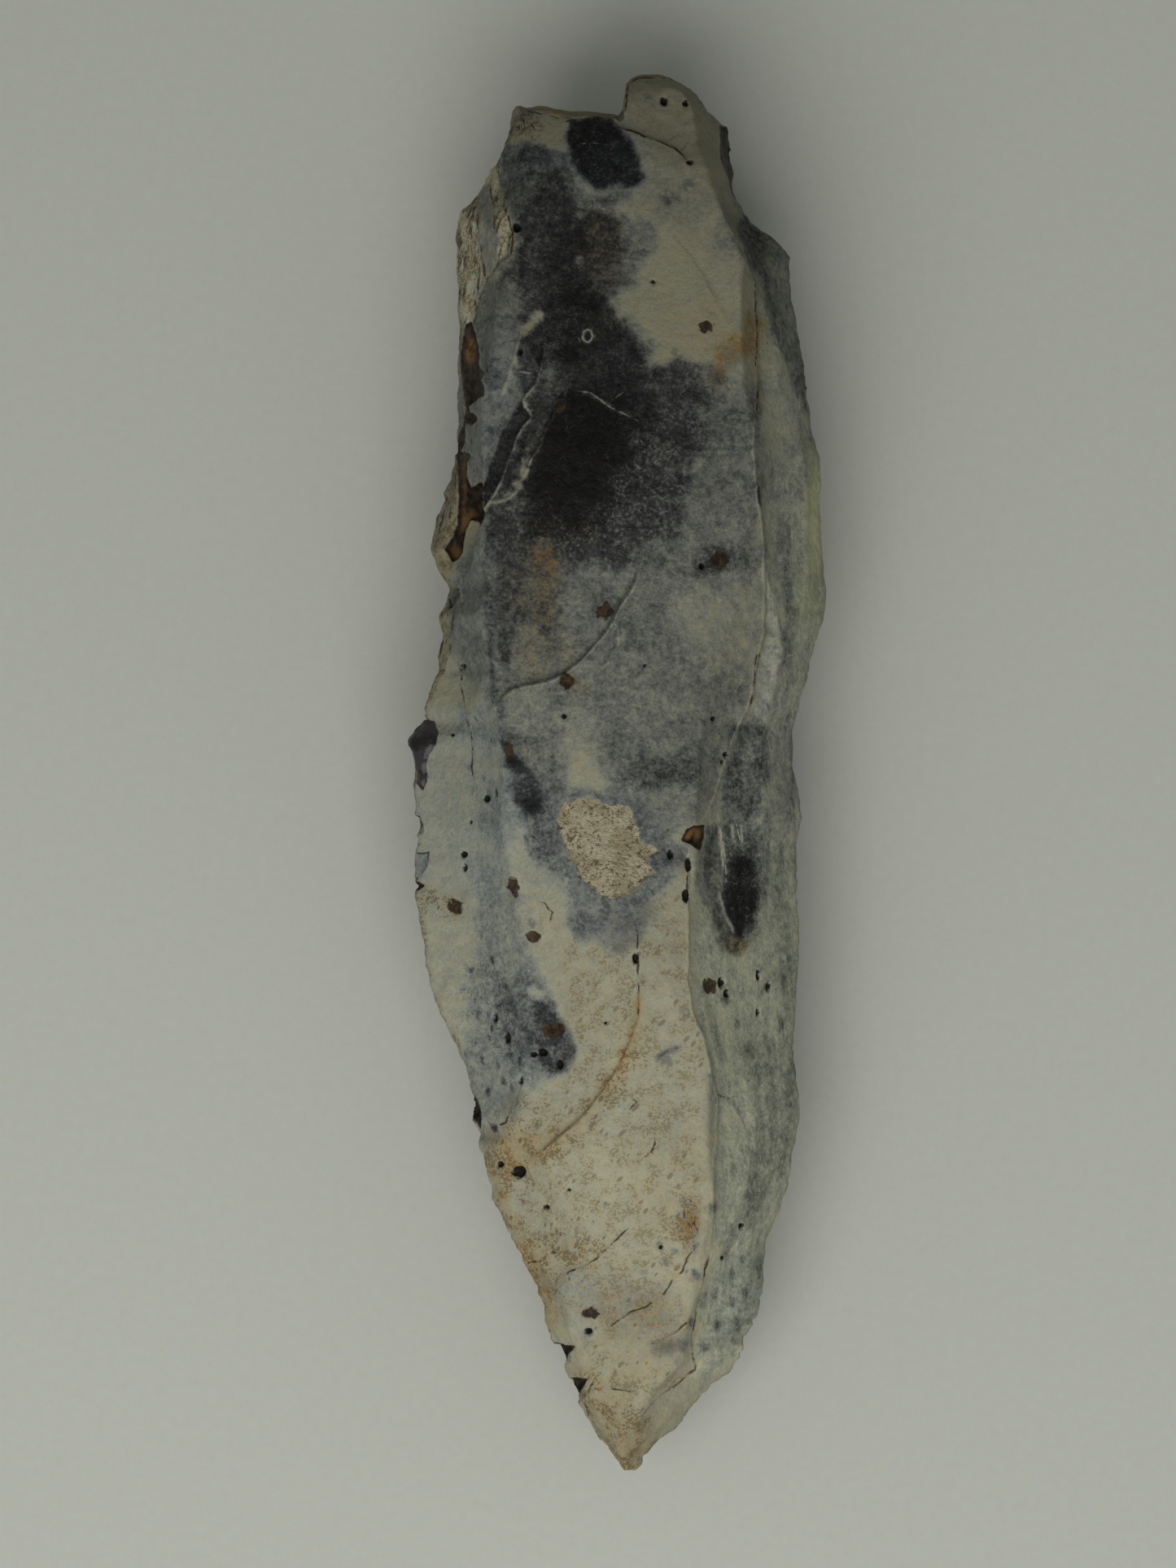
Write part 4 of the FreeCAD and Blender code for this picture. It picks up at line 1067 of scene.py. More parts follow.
STAIN_STROKES = [
    (1.00, 0.95, 17, 7, 8, [(926, 404), (922, 424), (908, 426), (894, 436)]),
    (0.85, 0.9, 11, 6, 5, [(896, 432), (886, 446), (880, 470)]),
    (0.60, 0.8, 3, 3, 3, [(931, 400), (930, 450), (928, 520)]),
    (0.95, 0.95, 5.0, 4, 3, [(785, 1226), (783, 1250), (774, 1275), (762, 1302), (745, 1334)]),
    (0.75, 0.9, 4.0, 4, 3, [(747, 1334), (725, 1362), (704, 1379), (676, 1407), (652, 1431), (630, 1442)]),
    (0.80, 0.9, 3, 2, 2, [(640, 134), (660, 127), (696, 133), (756, 137)]),
    (0.70, 0.9, 3, 2, 2, [(766, 138), (769, 108), (776, 98), (789, 94), (816, 94), (837, 101), (855, 113),
        (885, 149)]),
    (0.55, 0.7, 9, 8, 6, [(790, 1246), (770, 1300), (740, 1346), (700, 1390), (650, 1430)]),
    (0.45, 0.8, 11, 8, 6, [(604, 1430), (616, 1460)]),
    (0.66, 0.8, 10, 8, 6, [(618, 1470), (630, 1500)]),
    (0.85, 0.9, 13, 9, 7, [(640, 1530), (662, 1580), (670, 1620)]),
    (0.40, 0.8, 6, 5, 4, [(534, 660), (548, 720), (546, 760), (540, 800), (528, 850)]),
    (0.50, 0.8, 2.5, 2, 1, [(846, 1539), (826, 1570), (815, 1588), (795, 1603), (759, 1618), (744, 1646)]),
    (0.45, 0.8, 2.5, 2, 1, [(845, 1621), (832, 1633), (815, 1644)]),
    (0.60, 0.8, 3, 3, 2, [(566, 560), (558, 620), (556, 690)]),
]
STAIN_DABS = [
    (0.86, 0.9, 845, 1496, 10, 24, 0.9, 16), (1.0, 0.9, 847, 1506, 7, 14, 0.8, 12),
    (0.50, 0.8, 822, 1482, 9, 6, 0.7, 5), (0.85, 0.9, 697, 838, 11, 10, 0.4, 4),
    (0.60, 0.8, 714, 846, 10, 8, 0.4, 3), (0.65, 0.8, 556, 1112, 9, 8, 0.4, 3),
    (0.50, 0.7, 904, 1160, 14, 10, 0.5, 6), (0.40, 0.7, 650, 404, 8, 10, 0.5, 3),
    (0.50, 0.8, 688, 503, 6, 8, 0.4, 3), (0.30, 0.7, 850, 1400, 26, 20, 0.6, 8),
    (0.34, 0.7, 694, 560, 30, 60, 0.6, 10), (0.60, 0.8, 838, 1060, 6, 20, 0.5, 3),
    (0.70, 0.8, 684, 510, 6, 9, 0.4, 3), (0.50, 0.8, 643, 417, 8, 6, 0.4, 3),
    (0.80, 0.8, 908, 1160, 14, 9, 0.5, 3),
]

stain = 0.04 + 0.04 * layered_lumps(points, 5.0, 101)
paint(stain, STAIN_AREAS, STAIN_STROKES, STAIN_DABS)
under_stain = 0.35 * smooth_step(layered_lumps(points, 10.0, 111), 0.3, 0.9)
stain = under_stain + (stain - under_stain) * seen_from_above
print("stained points:", int((stain > HALF).sum()))

# %% Crust: where the rind is rough and brown in its pores
CRUST_AREAS = [
    (0.46, 1.0, 20, 10, [(690, 1130), (840, 1100), (880, 1340), (870, 1520), (800, 1740), (740, 1740),
        (600, 1420), (700, 1330)]),
    (0.65, 1.0, 12, 12, [(628, 1338), (684, 1346), (676, 1410), (640, 1440), (604, 1420), (610, 1390)]),
    (0.85, 1.0, 12, 8, [(604, 1400), (640, 1400), (650, 1440), (650, 1480), (640, 1540), (628, 1530),
        (600, 1440)]),
    (0.90, 1.0, 10, 10, [(634, 1516), (738, 1520), (736, 1556), (700, 1566), (672, 1604), (650, 1574)]),
    (0.45, 1.0, 14, 14, [(700, 1560), (830, 1560), (840, 1640), (740, 1640), (690, 1600)]),
    (1.0, 1.0, 10, 8, [(740, 1766), (772, 1756), (808, 1776), (780, 1812), (756, 1804)]),
    (0.95, 1.0, 12, 10, [(700, 1690), (740, 1690), (800, 1740), (800, 1790), (770, 1806), (740, 1770),
        (708, 1720)]),
    (0.45, 1.0, 10, 10, [(740, 1660), (850, 1640), (840, 1690), (770, 1740), (730, 1700)]),
    (0.60, 1.0, 8, 8, [(512, 1094), (576, 1094), (570, 1124), (530, 1130), (514, 1120)]),
    (0.85, 1.0, 8, 8, [(630, 138), (660, 138), (668, 160), (650, 176), (624, 168)]),
    (1.0, 1.0, 5, 5, [(526, 676), (540, 610), (558, 560), (564, 620), (556, 690), (550, 724), (536, 760),
        (546, 790), (530, 850), (520, 870), (556, 800), (560, 740)]),
    (0.8, 1.0, 10, 8, [(760, 1290), (782, 1290), (770, 1330), (720, 1392), (660, 1440), (640, 1424),
        (700, 1370)]),
    (0.22, 1.0, 8, 8, [(770, 110), (800, 94), (850, 120), (890, 160), (850, 200), (770, 170)]),
    (1.0, 1.0, 6, 8, [(832, 1476), (852, 1476), (858, 1500), (852, 1526), (838, 1520), (834, 1500)]),
]
CRUST_STROKES = [(0.85, 0.9, 6, 5, 3, LEFT_MARGIN), (0.60, 0.9, 4, 4, 3, RIGHT_MARGIN)]
crust = even_field()
paint(crust, CRUST_AREAS, CRUST_STROKES)
crust = np.maximum(crust, 0.9 * bruised) * seen_from_above
print("points in the crust:", int((crust > HALF).sum()))

# %% Amber: where a fresh chip is thin enough to glow
AMBER_DABS = [
    (1.0, 1.0, 577, 432, 8, 15, 0.4, 2), (0.5, 1.0, 568, 480, 5, 20, 0.4, 2),
    (0.7, 1.0, 565, 600, 7, 46, 0.4, 2), (0.6, 1.0, 574, 640, 12, 14, 0.4, 2),
    (1.0, 1.0, 852, 1026, 12, 9, 0.4, 2), (0.4, 1.0, 900, 180, 4, 22, 0.4, 2),
    (0.5, 1.0, 560, 680, 8, 10, 0.4, 2),
]
amber = even_field()
paint(amber, dabs=AMBER_DABS)
print("amber places:", len(AMBER_DABS))

# %% Painted light and tone, coolness, tint and streaks
# Painted shade: every colour is multiplied by a number that rises from the blunt end towards the point, so
# the blunt end is painted darker. A faint random tone is added on top.
PAINTED_SHADE_ROWS = [93, 200, 350, 600, 800, 950, 1100, 1250, 1450, 1800]
PAINTED_SHADE_VALUES = [0.35, 0.39, 0.45, 0.51, 0.56, 0.61, 0.68, 0.75, 0.80, 0.70]
tone_and_painted_light = np.interp(places[:, 1], PAINTED_SHADE_ROWS, PAINTED_SHADE_VALUES) + 0.02 * lumps(points, 8.0, 121)
# Painted light: the bruised bevel is painted up to about twice as bright.
tone_and_painted_light *= 1 + 0.95 * smooth_step(outline_depth(places, BRUISED_BEVEL), -3, 8)

END_STRIP = [
    (640, 134), (660, 126), (700, 132), (758, 137), (752, 147), (700, 149), (668, 143),
]
# Painted light: the strip along the edge of the blunt end is painted brighter.
tone_and_painted_light *= 1 + 0.45 * smooth_step(outline_depth(places, END_STRIP), -2, 3)

COOL_AREAS = [
    (0.40, 1.0, 20, 16, [(500, 870), (598, 850), (640, 950), (700, 960), (780, 970), (850, 1040),
        (800, 1130), (740, 1170), (700, 1160), (690, 1110), (640, 1120), (660, 1200), (714, 1290),
        (640, 1350), (596, 1412), (530, 1245), (495, 1090)]),
    (0.85, 1.0, 14, 12, [(500, 880), (598, 872), (630, 950), (636, 1060), (600, 1110), (500, 1080)]),
    (0.4, 1.0, 12, 12, [(566, 690), (597, 656), (606, 850), (556, 850), (552, 760)]),
    (0.5, 1.0, 8, 8, [(584, 396), (640, 396), (622, 520), (596, 600), (566, 560)]),
    (0.6, 1.0, 10, 10, [(616, 180), (690, 184), (780, 150), (788, 236), (720, 240), (690, 210),
        (620, 224)]),
    (0.25, 1.0, 12, 12, [(880, 1560), (940, 1530), (940, 1610), (910, 1650), (870, 1650)]),
]
coolness = even_field()
paint(coolness, COOL_AREAS)
coolness *= seen_from_above

tint = even_field()
paint(tint, dabs=[(0.65, 1.0, 1004, 630, 13, 70, 0.6, 5), (0.5, 0.9, 992, 740, 16, 46, 0.6, 5)])

RIGHT_FLANK = [
    (884, 230), (930, 372), (940, 560), (944, 780), (926, 880), (872, 1020), (850, 1200), (880, 1320),
    (882, 1480), (850, 1690), (950, 1660), (1000, 1400), (1040, 700), (1020, 420), (960, 260),
]
streak = even_field()
wash(streak, 1.0, 1.0, 10, 8, RIGHT_FLANK)
streak *= seen_from_above
tint = np.maximum(tint, 0.16 * streak * smooth_step(places[:, 1], 960, 1160))
tint *= seen_from_above * smooth_step(patina, 0.35, 0.70)
# Painted light: the right flank, which the lamp lights less, is painted brighter from about row 400 down,
# and a little more down to about row 900.
tone_and_painted_light *= 1 + 0.32 * streak * smooth_step(places[:, 1], 330, 480)
tone_and_painted_light *= 1 + 0.14 * streak * smooth_step(places[:, 1], 340, 470) * smooth_step(-places[:, 1], -980, -840)
print("mean tone:", round(float(tone_and_painted_light.mean()), 3), "cool areas:", len(COOL_AREAS))

# %% Lines along the scars
# Distances in pixels to the dark joints and to the ridges beside them, which get a pale line on their
# raised side that is partly worn patina and partly a painted highlight. The second number of each is
# below zero on one side and above it on the other, so a thin line stays thin between the points.
DARK_LINES = [
    "crease_crack", "nub_edge", "tip_crease_a", "bevel_edge", "tip_crease_b", "tip_crease_c",
    "tip_crease_d", "left_crack", "left_facet", "right_ridge_end", "low_left_step",
]
WORN_AND_HIGHLIGHT_RIDGES = [
    "central_arc", "second_arc", "shelf_ridge", "band_right", "band_far", "right_ridge_top",
    "right_ridge_low", "face_line", "right_ridge_middle",
]
JOINT_OFFSET_PX = -0.8
RIDGE_OFFSET_PX = 2.6
FAR_LINE_PX = 40.0


def scar_lines(names, offset):
    """Scar edges by name, each with the side of its hollow and an offset to that side."""
    return [(SCAR_EDGES[name][3], SCAR_EDGES[name][0], offset) for name in names]


def plain_lines(lines):
    """Lines with no hollow and no offset."""
    return [(line, 1, 0.0) for line in lines]


def nearest_line(lines, ragged):
    """The distance to the nearest of these lines and its signed twin."""
    nearest = even_field(FAR_LINE_PX)
    signed = even_field(FAR_LINE_PX)
    for line, hollow_side, offset in lines:
        distance, side, _ = line_distance(places + ragged * wobble, line)
        outwards = np.where(side == hollow_side, -distance, distance) - offset
        nearer = np.abs(outwards) < nearest
        nearest[nearer] = np.abs(outwards[nearer])
        signed[nearer] = outwards[nearer]
    away = FAR_LINE_PX * (1 - on_top)
    return nearest + away, signed + away


joints = scar_lines(DARK_LINES, JOINT_OFFSET_PX) + plain_lines(HAIR_CRACKS)
dark_line, dark_side = nearest_line(joints, 3.2)
worn_and_highlight_ridge, worn_and_highlight_side = nearest_line(scar_lines(WORN_AND_HIGHLIGHT_RIDGES, RIDGE_OFFSET_PX), 1.6)
scratch, scratch_side = nearest_line(plain_lines(PALE_SCRATCHES), 1.2)
print("dark joints and pale ridges:", len(DARK_LINES), len(WORN_AND_HIGHLIGHT_RIDGES))

# %% Frost on the dark flint and hair veins
FROST_AREAS = [
    (1.0, 1.0, 30, 20, [(690, 590), (760, 560), (850, 490), (930, 500), (930, 700), (800, 724), (690, 716),
        (650, 660)]),
    (0.8, 1.0, 16, 12, [(664, 716), (760, 700), (720, 760), (690, 800), (650, 780)]),
    (0.08, 1.0, 3, 2, [(640, 496), (643, 504), (651, 515), (643, 525), (635, 539), (630, 555), (622, 574),
        (616, 592), (608, 608), (598, 623), (592, 623), (593, 604), (602, 576), (616, 537), (631, 511)]),
    (0.45, 1.0, 8, 6, [(702, 152), (751, 150), (773, 174), (788, 222), (773, 236), (733, 235), (703, 206),
        (699, 170)]),
]
VEINED_SPOTS = [
    (662, 1016, 20, 36), (842, 950, 20, 22), (790, 960, 40, 12), (860, 700, 40, 14), (600, 1240, 30, 60),
    (700, 262, 40, 14), (640, 200, 30, 16),
]
FROST_ELSEWHERE = 0.14

frost_field = even_field(FROST_ELSEWHERE)
paint(frost_field, FROST_AREAS)
veined = even_field()
paint(veined, dabs=[(1.0, 1.0, *spot, 0.5, 6) for spot in VEINED_SPOTS])
veined *= seen_from_above
print("frosted points:", int((frost_field > HALF).sum()))

# %% The fields on the points
LOWEST = -20.0


def depth_where(shown, depth):
    """A depth that counts only where that side is shown."""
    return np.where(shown > HALF, depth, LOWEST)


FIELDS = {
    "patina": patina,
    "stain": stain,
    "crust": crust,
    "tone_and_painted_light": tone_and_painted_light,
    "coolness": coolness,
    "tint": tint,
    "streak": streak,
    "bruised": bruised,
    "amber": amber,
    "frost": frost_field,
    "veined": veined,
    "dark_line": dark_line,
    "dark_side": dark_side,
    "worn_and_highlight_ridge": worn_and_highlight_ridge,
    "worn_and_highlight_side": worn_and_highlight_side,
    "scratch": scratch,
    "scratch_side": scratch_side,
    "fresh_depth": depth_where(seen_from_above, fresh_depth),
    "pit_depth": depth_where(on_top, pit_depth),
    "spot_depth": depth_where(on_top, spot_depth),
    "chalk_depth": depth_where(seen_from_above, chalk_depth),
    "knob_depth": depth_where(seen_from_above, knob_depth),
}
for name, values in FIELDS.items():
    attribute = stone_data.attributes.new(name, "FLOAT", "POINT")
    attribute.data.foreach_set("value", np.clip(values, LOWEST, FAR_LINE_PX).astype(np.float32))
print("painted fields:", ", ".join(FIELDS))

# %% [markdown]
# ## Shader effects
#
# The paint above changes over about half a millimetre. Anything finer, such as specks, pores and
# grain, is noise inside the shader, which stays sharp from any distance. Each effect that is used
# more than once is a node group with named inputs.

# %% Small helpers for nodes
def srgb(red, green, blue):
    """A colour that was measured on screen, as the renderer's linear values."""
    values = np.array([red, green, blue]) / 255
    linear = np.where(values <= 0.04045, values / 12.92, ((values + 0.055) / 1.055) ** 2.4)
    return (*linear.tolist(), 1.0)


def new_node(tree, kind, settings=None, inputs=None):
    """A node with its settings made and its inputs set or linked."""
    node = tree.nodes.new(kind)
    for key, value in (settings or {}).items():
        setattr(node, key, value)
    for key, value in (inputs or {}).items():
        if isinstance(value, bpy.types.NodeSocket):
            tree.links.new(value, node.inputs[key])
        else:
            node.inputs[key].default_value = value
    return node


def maths(tree, operation, first, second=0.0, clamp=False):
    """One sum on numbers. Its result is the output socket."""
    settings = {"operation": operation, "use_clamp": clamp}
    return new_node(tree, "ShaderNodeMath", settings, {0: first, 1: second}).outputs[0]


def mix_colours(tree, share, first, second, blend="MIX"):
    """Two colours mixed by a share."""
    settings = {"data_type": "RGBA", "blend_type": blend, "clamp_factor": True}
    node = new_node(tree, "ShaderNodeMix", settings, {0: share, 6: first, 7: second})
    return node.outputs[2]


def ramp_between(tree, value, low, high):
    """A soft ramp from 0 at low to 1 at high."""
    inputs = {"Value": value, "From Min": low, "From Max": high, "To Min": 0.0, "To Max": 1.0}
    node = new_node(tree, "ShaderNodeMapRange", {"interpolation_type": "SMOOTHSTEP"}, inputs)
    return node.outputs["Result"]


def new_group(name, inputs, output):
    """A node group with named inputs and one output. Also what it is given, and its end."""
    group = bpy.data.node_groups.new(name, "ShaderNodeTree")
    for label, default in inputs.items():
        kind = "NodeSocketVector" if label == "Vector" else "NodeSocketFloat"
        socket = group.interface.new_socket(label, in_out="INPUT", socket_type=kind)
        if label != "Vector":
            socket.default_value = default
    group.interface.new_socket(output, in_out="OUTPUT", socket_type="NodeSocketFloat")
    given = group.nodes.new("NodeGroupInput").outputs
    end = group.nodes.new("NodeGroupOutput").inputs[0]
    return group, given, end


def given_noise(tree, given, detail, scale=None, roughness=0.5, distortion=0.0):
    """Noise from 0 to 1, placed and scaled by what the group is given."""
    return new_node(tree, "ShaderNodeTexNoise", inputs={
        "Vector": given["Vector"], "Scale": scale or given["Per metre"], "Detail": detail,
        "Roughness": roughness, "Distortion": distortion}).outputs[0]


def use_group(tree, group, inputs):
    """A node group placed in a tree. Its one output is the result."""
    return new_node(tree, "ShaderNodeGroup", {"node_tree": group}, inputs).outputs[0]


# %% Node groups: grain, specks, veins and ragged edges
grain_group, given, end = new_group(
    "grain", {"Vector": None, "Per metre": 1000.0, "Detail": 3.0}, "Value")
grain_noise = given_noise(grain_group, given, given["Detail"], roughness=0.6)
centred = maths(grain_group, "SUBTRACT", grain_noise, 0.5)
grain_group.links.new(maths(grain_group, "MULTIPLY", centred, 7.5), end)

speck_group, given, end = new_group(
    "specks", {"Vector": None, "Per metre": 1500.0, "Radius": 0.3, "Share": 0.5}, "Mask")
speck_cells = new_node(speck_group, "ShaderNodeTexVoronoi", inputs={
    "Vector": given["Vector"], "Scale": given["Per metre"], "Randomness": 1.0})
cell_lot = new_node(
    speck_group, "ShaderNodeSeparateColor", inputs={"Color": speck_cells.outputs["Color"]})
chosen_cell = maths(speck_group, "LESS_THAN", cell_lot.outputs[0], given["Share"])
radius_lot = maths(speck_group, "ADD", 0.45, cell_lot.outputs[1])
own_radius = maths(speck_group, "MULTIPLY", given["Radius"], radius_lot)
inner_radius = maths(speck_group, "MULTIPLY", own_radius, 0.55)
speck_body = ramp_between(speck_group, speck_cells.outputs["Distance"], own_radius, inner_radius)
speck_group.links.new(maths(speck_group, "MULTIPLY", speck_body, chosen_cell), end)

vein_group, given, end = new_group(
    "veins", {"Vector": None, "Per metre": 500.0, "Width": 0.03, "Broken": 0.0}, "Mask")
vein_noise = given_noise(vein_group, given, 3.0, roughness=0.55, distortion=0.4)
vein_level = maths(vein_group, "ABSOLUTE", maths(vein_group, "SUBTRACT", vein_noise, 0.5))
vein_body = ramp_between(vein_group, vein_level, given["Width"], 0.0)
break_scale = maths(vein_group, "MULTIPLY", given["Per metre"], 0.8)
break_noise = given_noise(vein_group, given, 2.0, break_scale)
break_level = maths(vein_group, "SUBTRACT", break_noise, given["Broken"])
vein_break = ramp_between(vein_group, break_level, 0.42, 0.60)
vein_group.links.new(maths(vein_group, "MULTIPLY", vein_body, vein_break), end)

edge_group, given, end = new_group("ragged_edge", {
    "Vector": None, "Depth": 0.0, "Softness": 1.0, "Raggedness": 1.0, "Per metre": 2500.0}, "Mask")
edge_noise = given_noise(edge_group, given, 2.0)
edge_reach = maths(edge_group, "MULTIPLY", given["Raggedness"], 2.0)
edge_shift = maths(edge_group, "MULTIPLY", maths(edge_group, "SUBTRACT", edge_noise, 0.5), edge_reach)
moved_depth = maths(edge_group, "ADD", given["Depth"], edge_shift)
outer_edge = maths(edge_group, "MULTIPLY", given["Softness"], -1.0)
edge_group.links.new(ramp_between(edge_group, moved_depth, outer_edge, given["Softness"]), end)
print("node groups:", [group.name for group in (grain_group, speck_group, vein_group, edge_group)])

# %% [markdown]
# ## The flint
#
# The shader reads the painted fields, roughens them with grain and sends the patina through a colour
# ramp. Stain tints the colour as a deposit in the rind does. Chips, pits, spots, the knob and the
# chalk are laid over it in the order in which they came about. The rind is waxy and dull, and fresh
# flint is glassy, so they differ in roughness as much as in colour.

# %% A material and short names for its sums
flint = bpy.data.materials.new("patinated_flint_look")
flint.use_nodes = True
tree = flint.node_tree
tree.nodes.clear()
place = new_node(tree, "ShaderNodeTexCoord").outputs["Object"]


def field(name):
    """One of the painted fields."""
    return new_node(tree, "ShaderNodeAttribute", {"attribute_name": name}).outputs["Fac"]


def turned_place(turn, stretch):
    """Object coordinates for a pattern that is stretched and then turned about the upright axis."""
    return new_node(tree, "ShaderNodeMapping", {"vector_type": "TEXTURE"}, {
        "Vector": place, "Rotation": (0, 0, turn), "Scale": stretch}).outputs[0]


def times(first, second):
    """A product of two numbers."""
    return maths(tree, "MULTIPLY", first, second)


def plus(first, second):
    """A sum of two numbers."""
    return maths(tree, "ADD", first, second)


def minus(first, second):
    """The first number less the second."""
    return maths(tree, "SUBTRACT", first, second)


def larger(first, second):
    """The larger of two numbers."""
    return maths(tree, "MAXIMUM", first, second)


def capped(first, second):
    """A product of two numbers that stays from 0 to 1."""
    return maths(tree, "MULTIPLY", first, second, clamp=True)


def ramp(value, low, high):
    """A soft ramp from 0 at low to 1 at high."""
    return ramp_between(tree, value, low, high)


def mixed(share, first, second):
    """Two colours mixed by a share."""
    return mix_colours(tree, share, first, second)


def tinted(colour, tint):
    """A colour multiplied by a tint."""
    return mix_colours(tree, 1.0, colour, tint, "MULTIPLY")


# %% Fields and grain
def grain(per_metre, detail, vector=None):
    """Grain with that many lumps in a metre."""
    return use_group(tree, grain_group, {
        "Vector": vector or place, "Per metre": per_metre, "Detail": detail})


patina_field = field("patina")
crust_field = field("crust")
streak_field = field("streak")
along_flank = turned_place(0.05, (1.0, 6.2, 1.7))
wide_mottle = grain(150.0, 3.0)
mottle = grain(480.0, 4.0)
fine_grain = grain(1350.0, 3.0)
frost_grain = grain(2500.0, 2.0)
micro_grain = grain(3600.0, 2.0)
streak_grain = grain(900.0, 3.0, along_flank)
print("nodes for fields and grain:", len(tree.nodes))

# %% The patina with its mottling, streaks and veins
def specks(per_metre, radius, share, turn, stretch):
    """Round or long specks in a share of the cells."""
    return use_group(tree, speck_group, {
        "Vector": turned_place(turn, stretch), "Per metre": per_metre, "Radius": radius, "Share": share})


def veins(per_metre, width, broken, vector):
    """Thin branching lines."""
    return use_group(tree, vein_group, {
        "Vector": vector, "Per metre": per_metre, "Width": width, "Broken": broken})


darkness = maths(tree, "SUBTRACT", 1.0, patina_field, clamp=True)
half_bleached = times(times(darkness, patina_field), 4.0)
liveliness = plus(0.30, times(half_bleached, 0.70))
patches = plus(ramp(mottle, -0.20, 0.25), -0.5)
small_patches = plus(ramp(grain(1000.0, 3.0), -0.25, 0.25), -0.5)
uneven = plus(times(wide_mottle, 0.020), plus(times(mottle, 0.030), times(fine_grain, 0.055)))
uneven = plus(uneven, plus(times(patches, 0.050), times(small_patches, 0.080)))
uneven = plus(uneven, times(frost_grain, 0.055))
uneven = plus(times(uneven, liveliness), times(micro_grain, 0.040))
streaks = times(times(streak_grain, streak_field), 0.055)
uneven = plus(uneven, streaks)
rough_patina = plus(patina_field, uneven)

blotches = specks(260.0, 0.17, 0.34, 0.4, (1.0, 1.3, 1.0))
blotch_zone = times(ramp(patina_field, 0.70, 0.90), ramp(fine_grain, -0.8, 0.4))
rough_patina = plus(rough_patina, times(times(blotches, blotch_zone), -0.20))

wide_veins = veins(520.0, 0.016, 0.02, place)
vein_mask = larger(wide_veins, veins(950.0, 0.022, 0.0, turned_place(0.7, (1.0, 1.4, 1.0))))
towards_middle = minus(0.76, rough_patina)
rough_patina = plus(rough_patina, times(times(vein_mask, towards_middle), 0.45))
rough_patina = plus(rough_patina, times(times(vein_mask, field("veined")), -0.30))


def thin_line(distance, signed, half_width, uneven_width):
    """A crisp line along a painted distance. Its signed twin keeps it thin."""
    near = ramp(field(distance), 5.0, 3.0)
    width = plus(half_width, times(fine_grain, uneven_width))
    body = ramp(maths(tree, "ABSOLUTE", field(signed)), width, times(width, 0.3))
    return times(near, body)


# A pale line on the raised side of each ridge: partly worn patina, partly a painted highlight.
worn_and_highlight_mask = times(thin_line("worn_and_highlight_ridge", "worn_and_highlight_side", 1.6, 0.7), ramp(mottle, -1.1, -0.1))
rough_patina = plus(rough_patina, times(worn_and_highlight_mask, 0.17))
scratch_mask = times(thin_line("scratch", "scratch_side", 1.1, 0.4), ramp(fine_grain, -1.2, -0.1))
rough_patina = plus(rough_patina, times(scratch_mask, 0.38))

PATINA_COLOURS = [
    (0.00, (9, 7, 4)), (0.12, (18, 18, 15)), (0.26, (32, 33, 32)), (0.42, (56, 57, 55)),
    (0.58, (88, 90, 85)), (0.72, (113, 115, 106)), (0.84, (132, 133, 118)), (1.00, (152, 148, 123)),
]
patina_ramp = new_node(tree, "ShaderNodeValToRGB", inputs={"Fac": rough_patina})
steps = patina_ramp.color_ramp.elements
while len(steps) < len(PATINA_COLOURS):
    steps.new(0.5)
for step, (position, colour) in zip(steps, PATINA_COLOURS):
    step.position = position
    step.color = srgb(*colour)
colour = patina_ramp.outputs["Color"]
print("nodes so far:", len(tree.nodes))

# %% Specks and pores
SPECK_COLOUR = srgb(138, 140, 130)
frost = ramp(plus(frost_grain, times(micro_grain, 0.5)), 0.35, 1.20)
short_fibres = specks(1700.0, 0.26, 0.26, -0.9, (1.0, 2.4, 1.0))
pale_specks = larger(times(frost, 0.9), short_fibres)
speck_zone = times(ramp(patina_field, 0.70, 0.34), ramp(patina_field, 0.10, 0.34))
speck_zone = times(speck_zone, ramp(mottle, -0.9, 0.5))
speck_share = times(times(pale_specks, speck_zone), times(field("frost"), 0.38))
colour = mixed(speck_share, colour, SPECK_COLOUR)

dash_pores = specks(1500.0, 0.28, 0.34, -0.6, (1.0, 2.2, 1.0))
wide_pores = specks(900.0, 0.20, 0.22, -0.8, (1.0, 2.6, 1.0))
crust_patches = times(crust_field, ramp(mottle, -1.0, 0.7))
crust_lumps = plus(times(micro_grain, 0.75), plus(times(frost_grain, 0.45), times(mottle, 0.30)))
crust_grain = ramp(crust_lumps, 0.0, 0.85)
pore_zone = times(ramp(patina_field, 0.60, 0.95), plus(0.14, times(crust_field, 1.5)))
pore_share = capped(larger(dash_pores, wide_pores), pore_zone)
crust_share = capped(crust_grain, times(crust_patches, 1.7))
brown_share = larger(times(pore_share, 0.72), times(crust_share, 0.64))
brown_share = larger(brown_share, times(times(vein_mask, crust_field), 0.14))
crust_shade = times(crust_field, ramp(plus(times(mottle, 0.7), times(fine_grain, 0.6)), -0.6, 0.9))
CRUST_TINT = (0.80, 0.70, 0.56, 1.0)
shaded = tinted(colour, CRUST_TINT)
colour = mixed(times(crust_shade, 0.72), colour, shaded)
PORE_BROWN = srgb(88, 75, 58)
colour = mixed(brown_share, colour, PORE_BROWN)

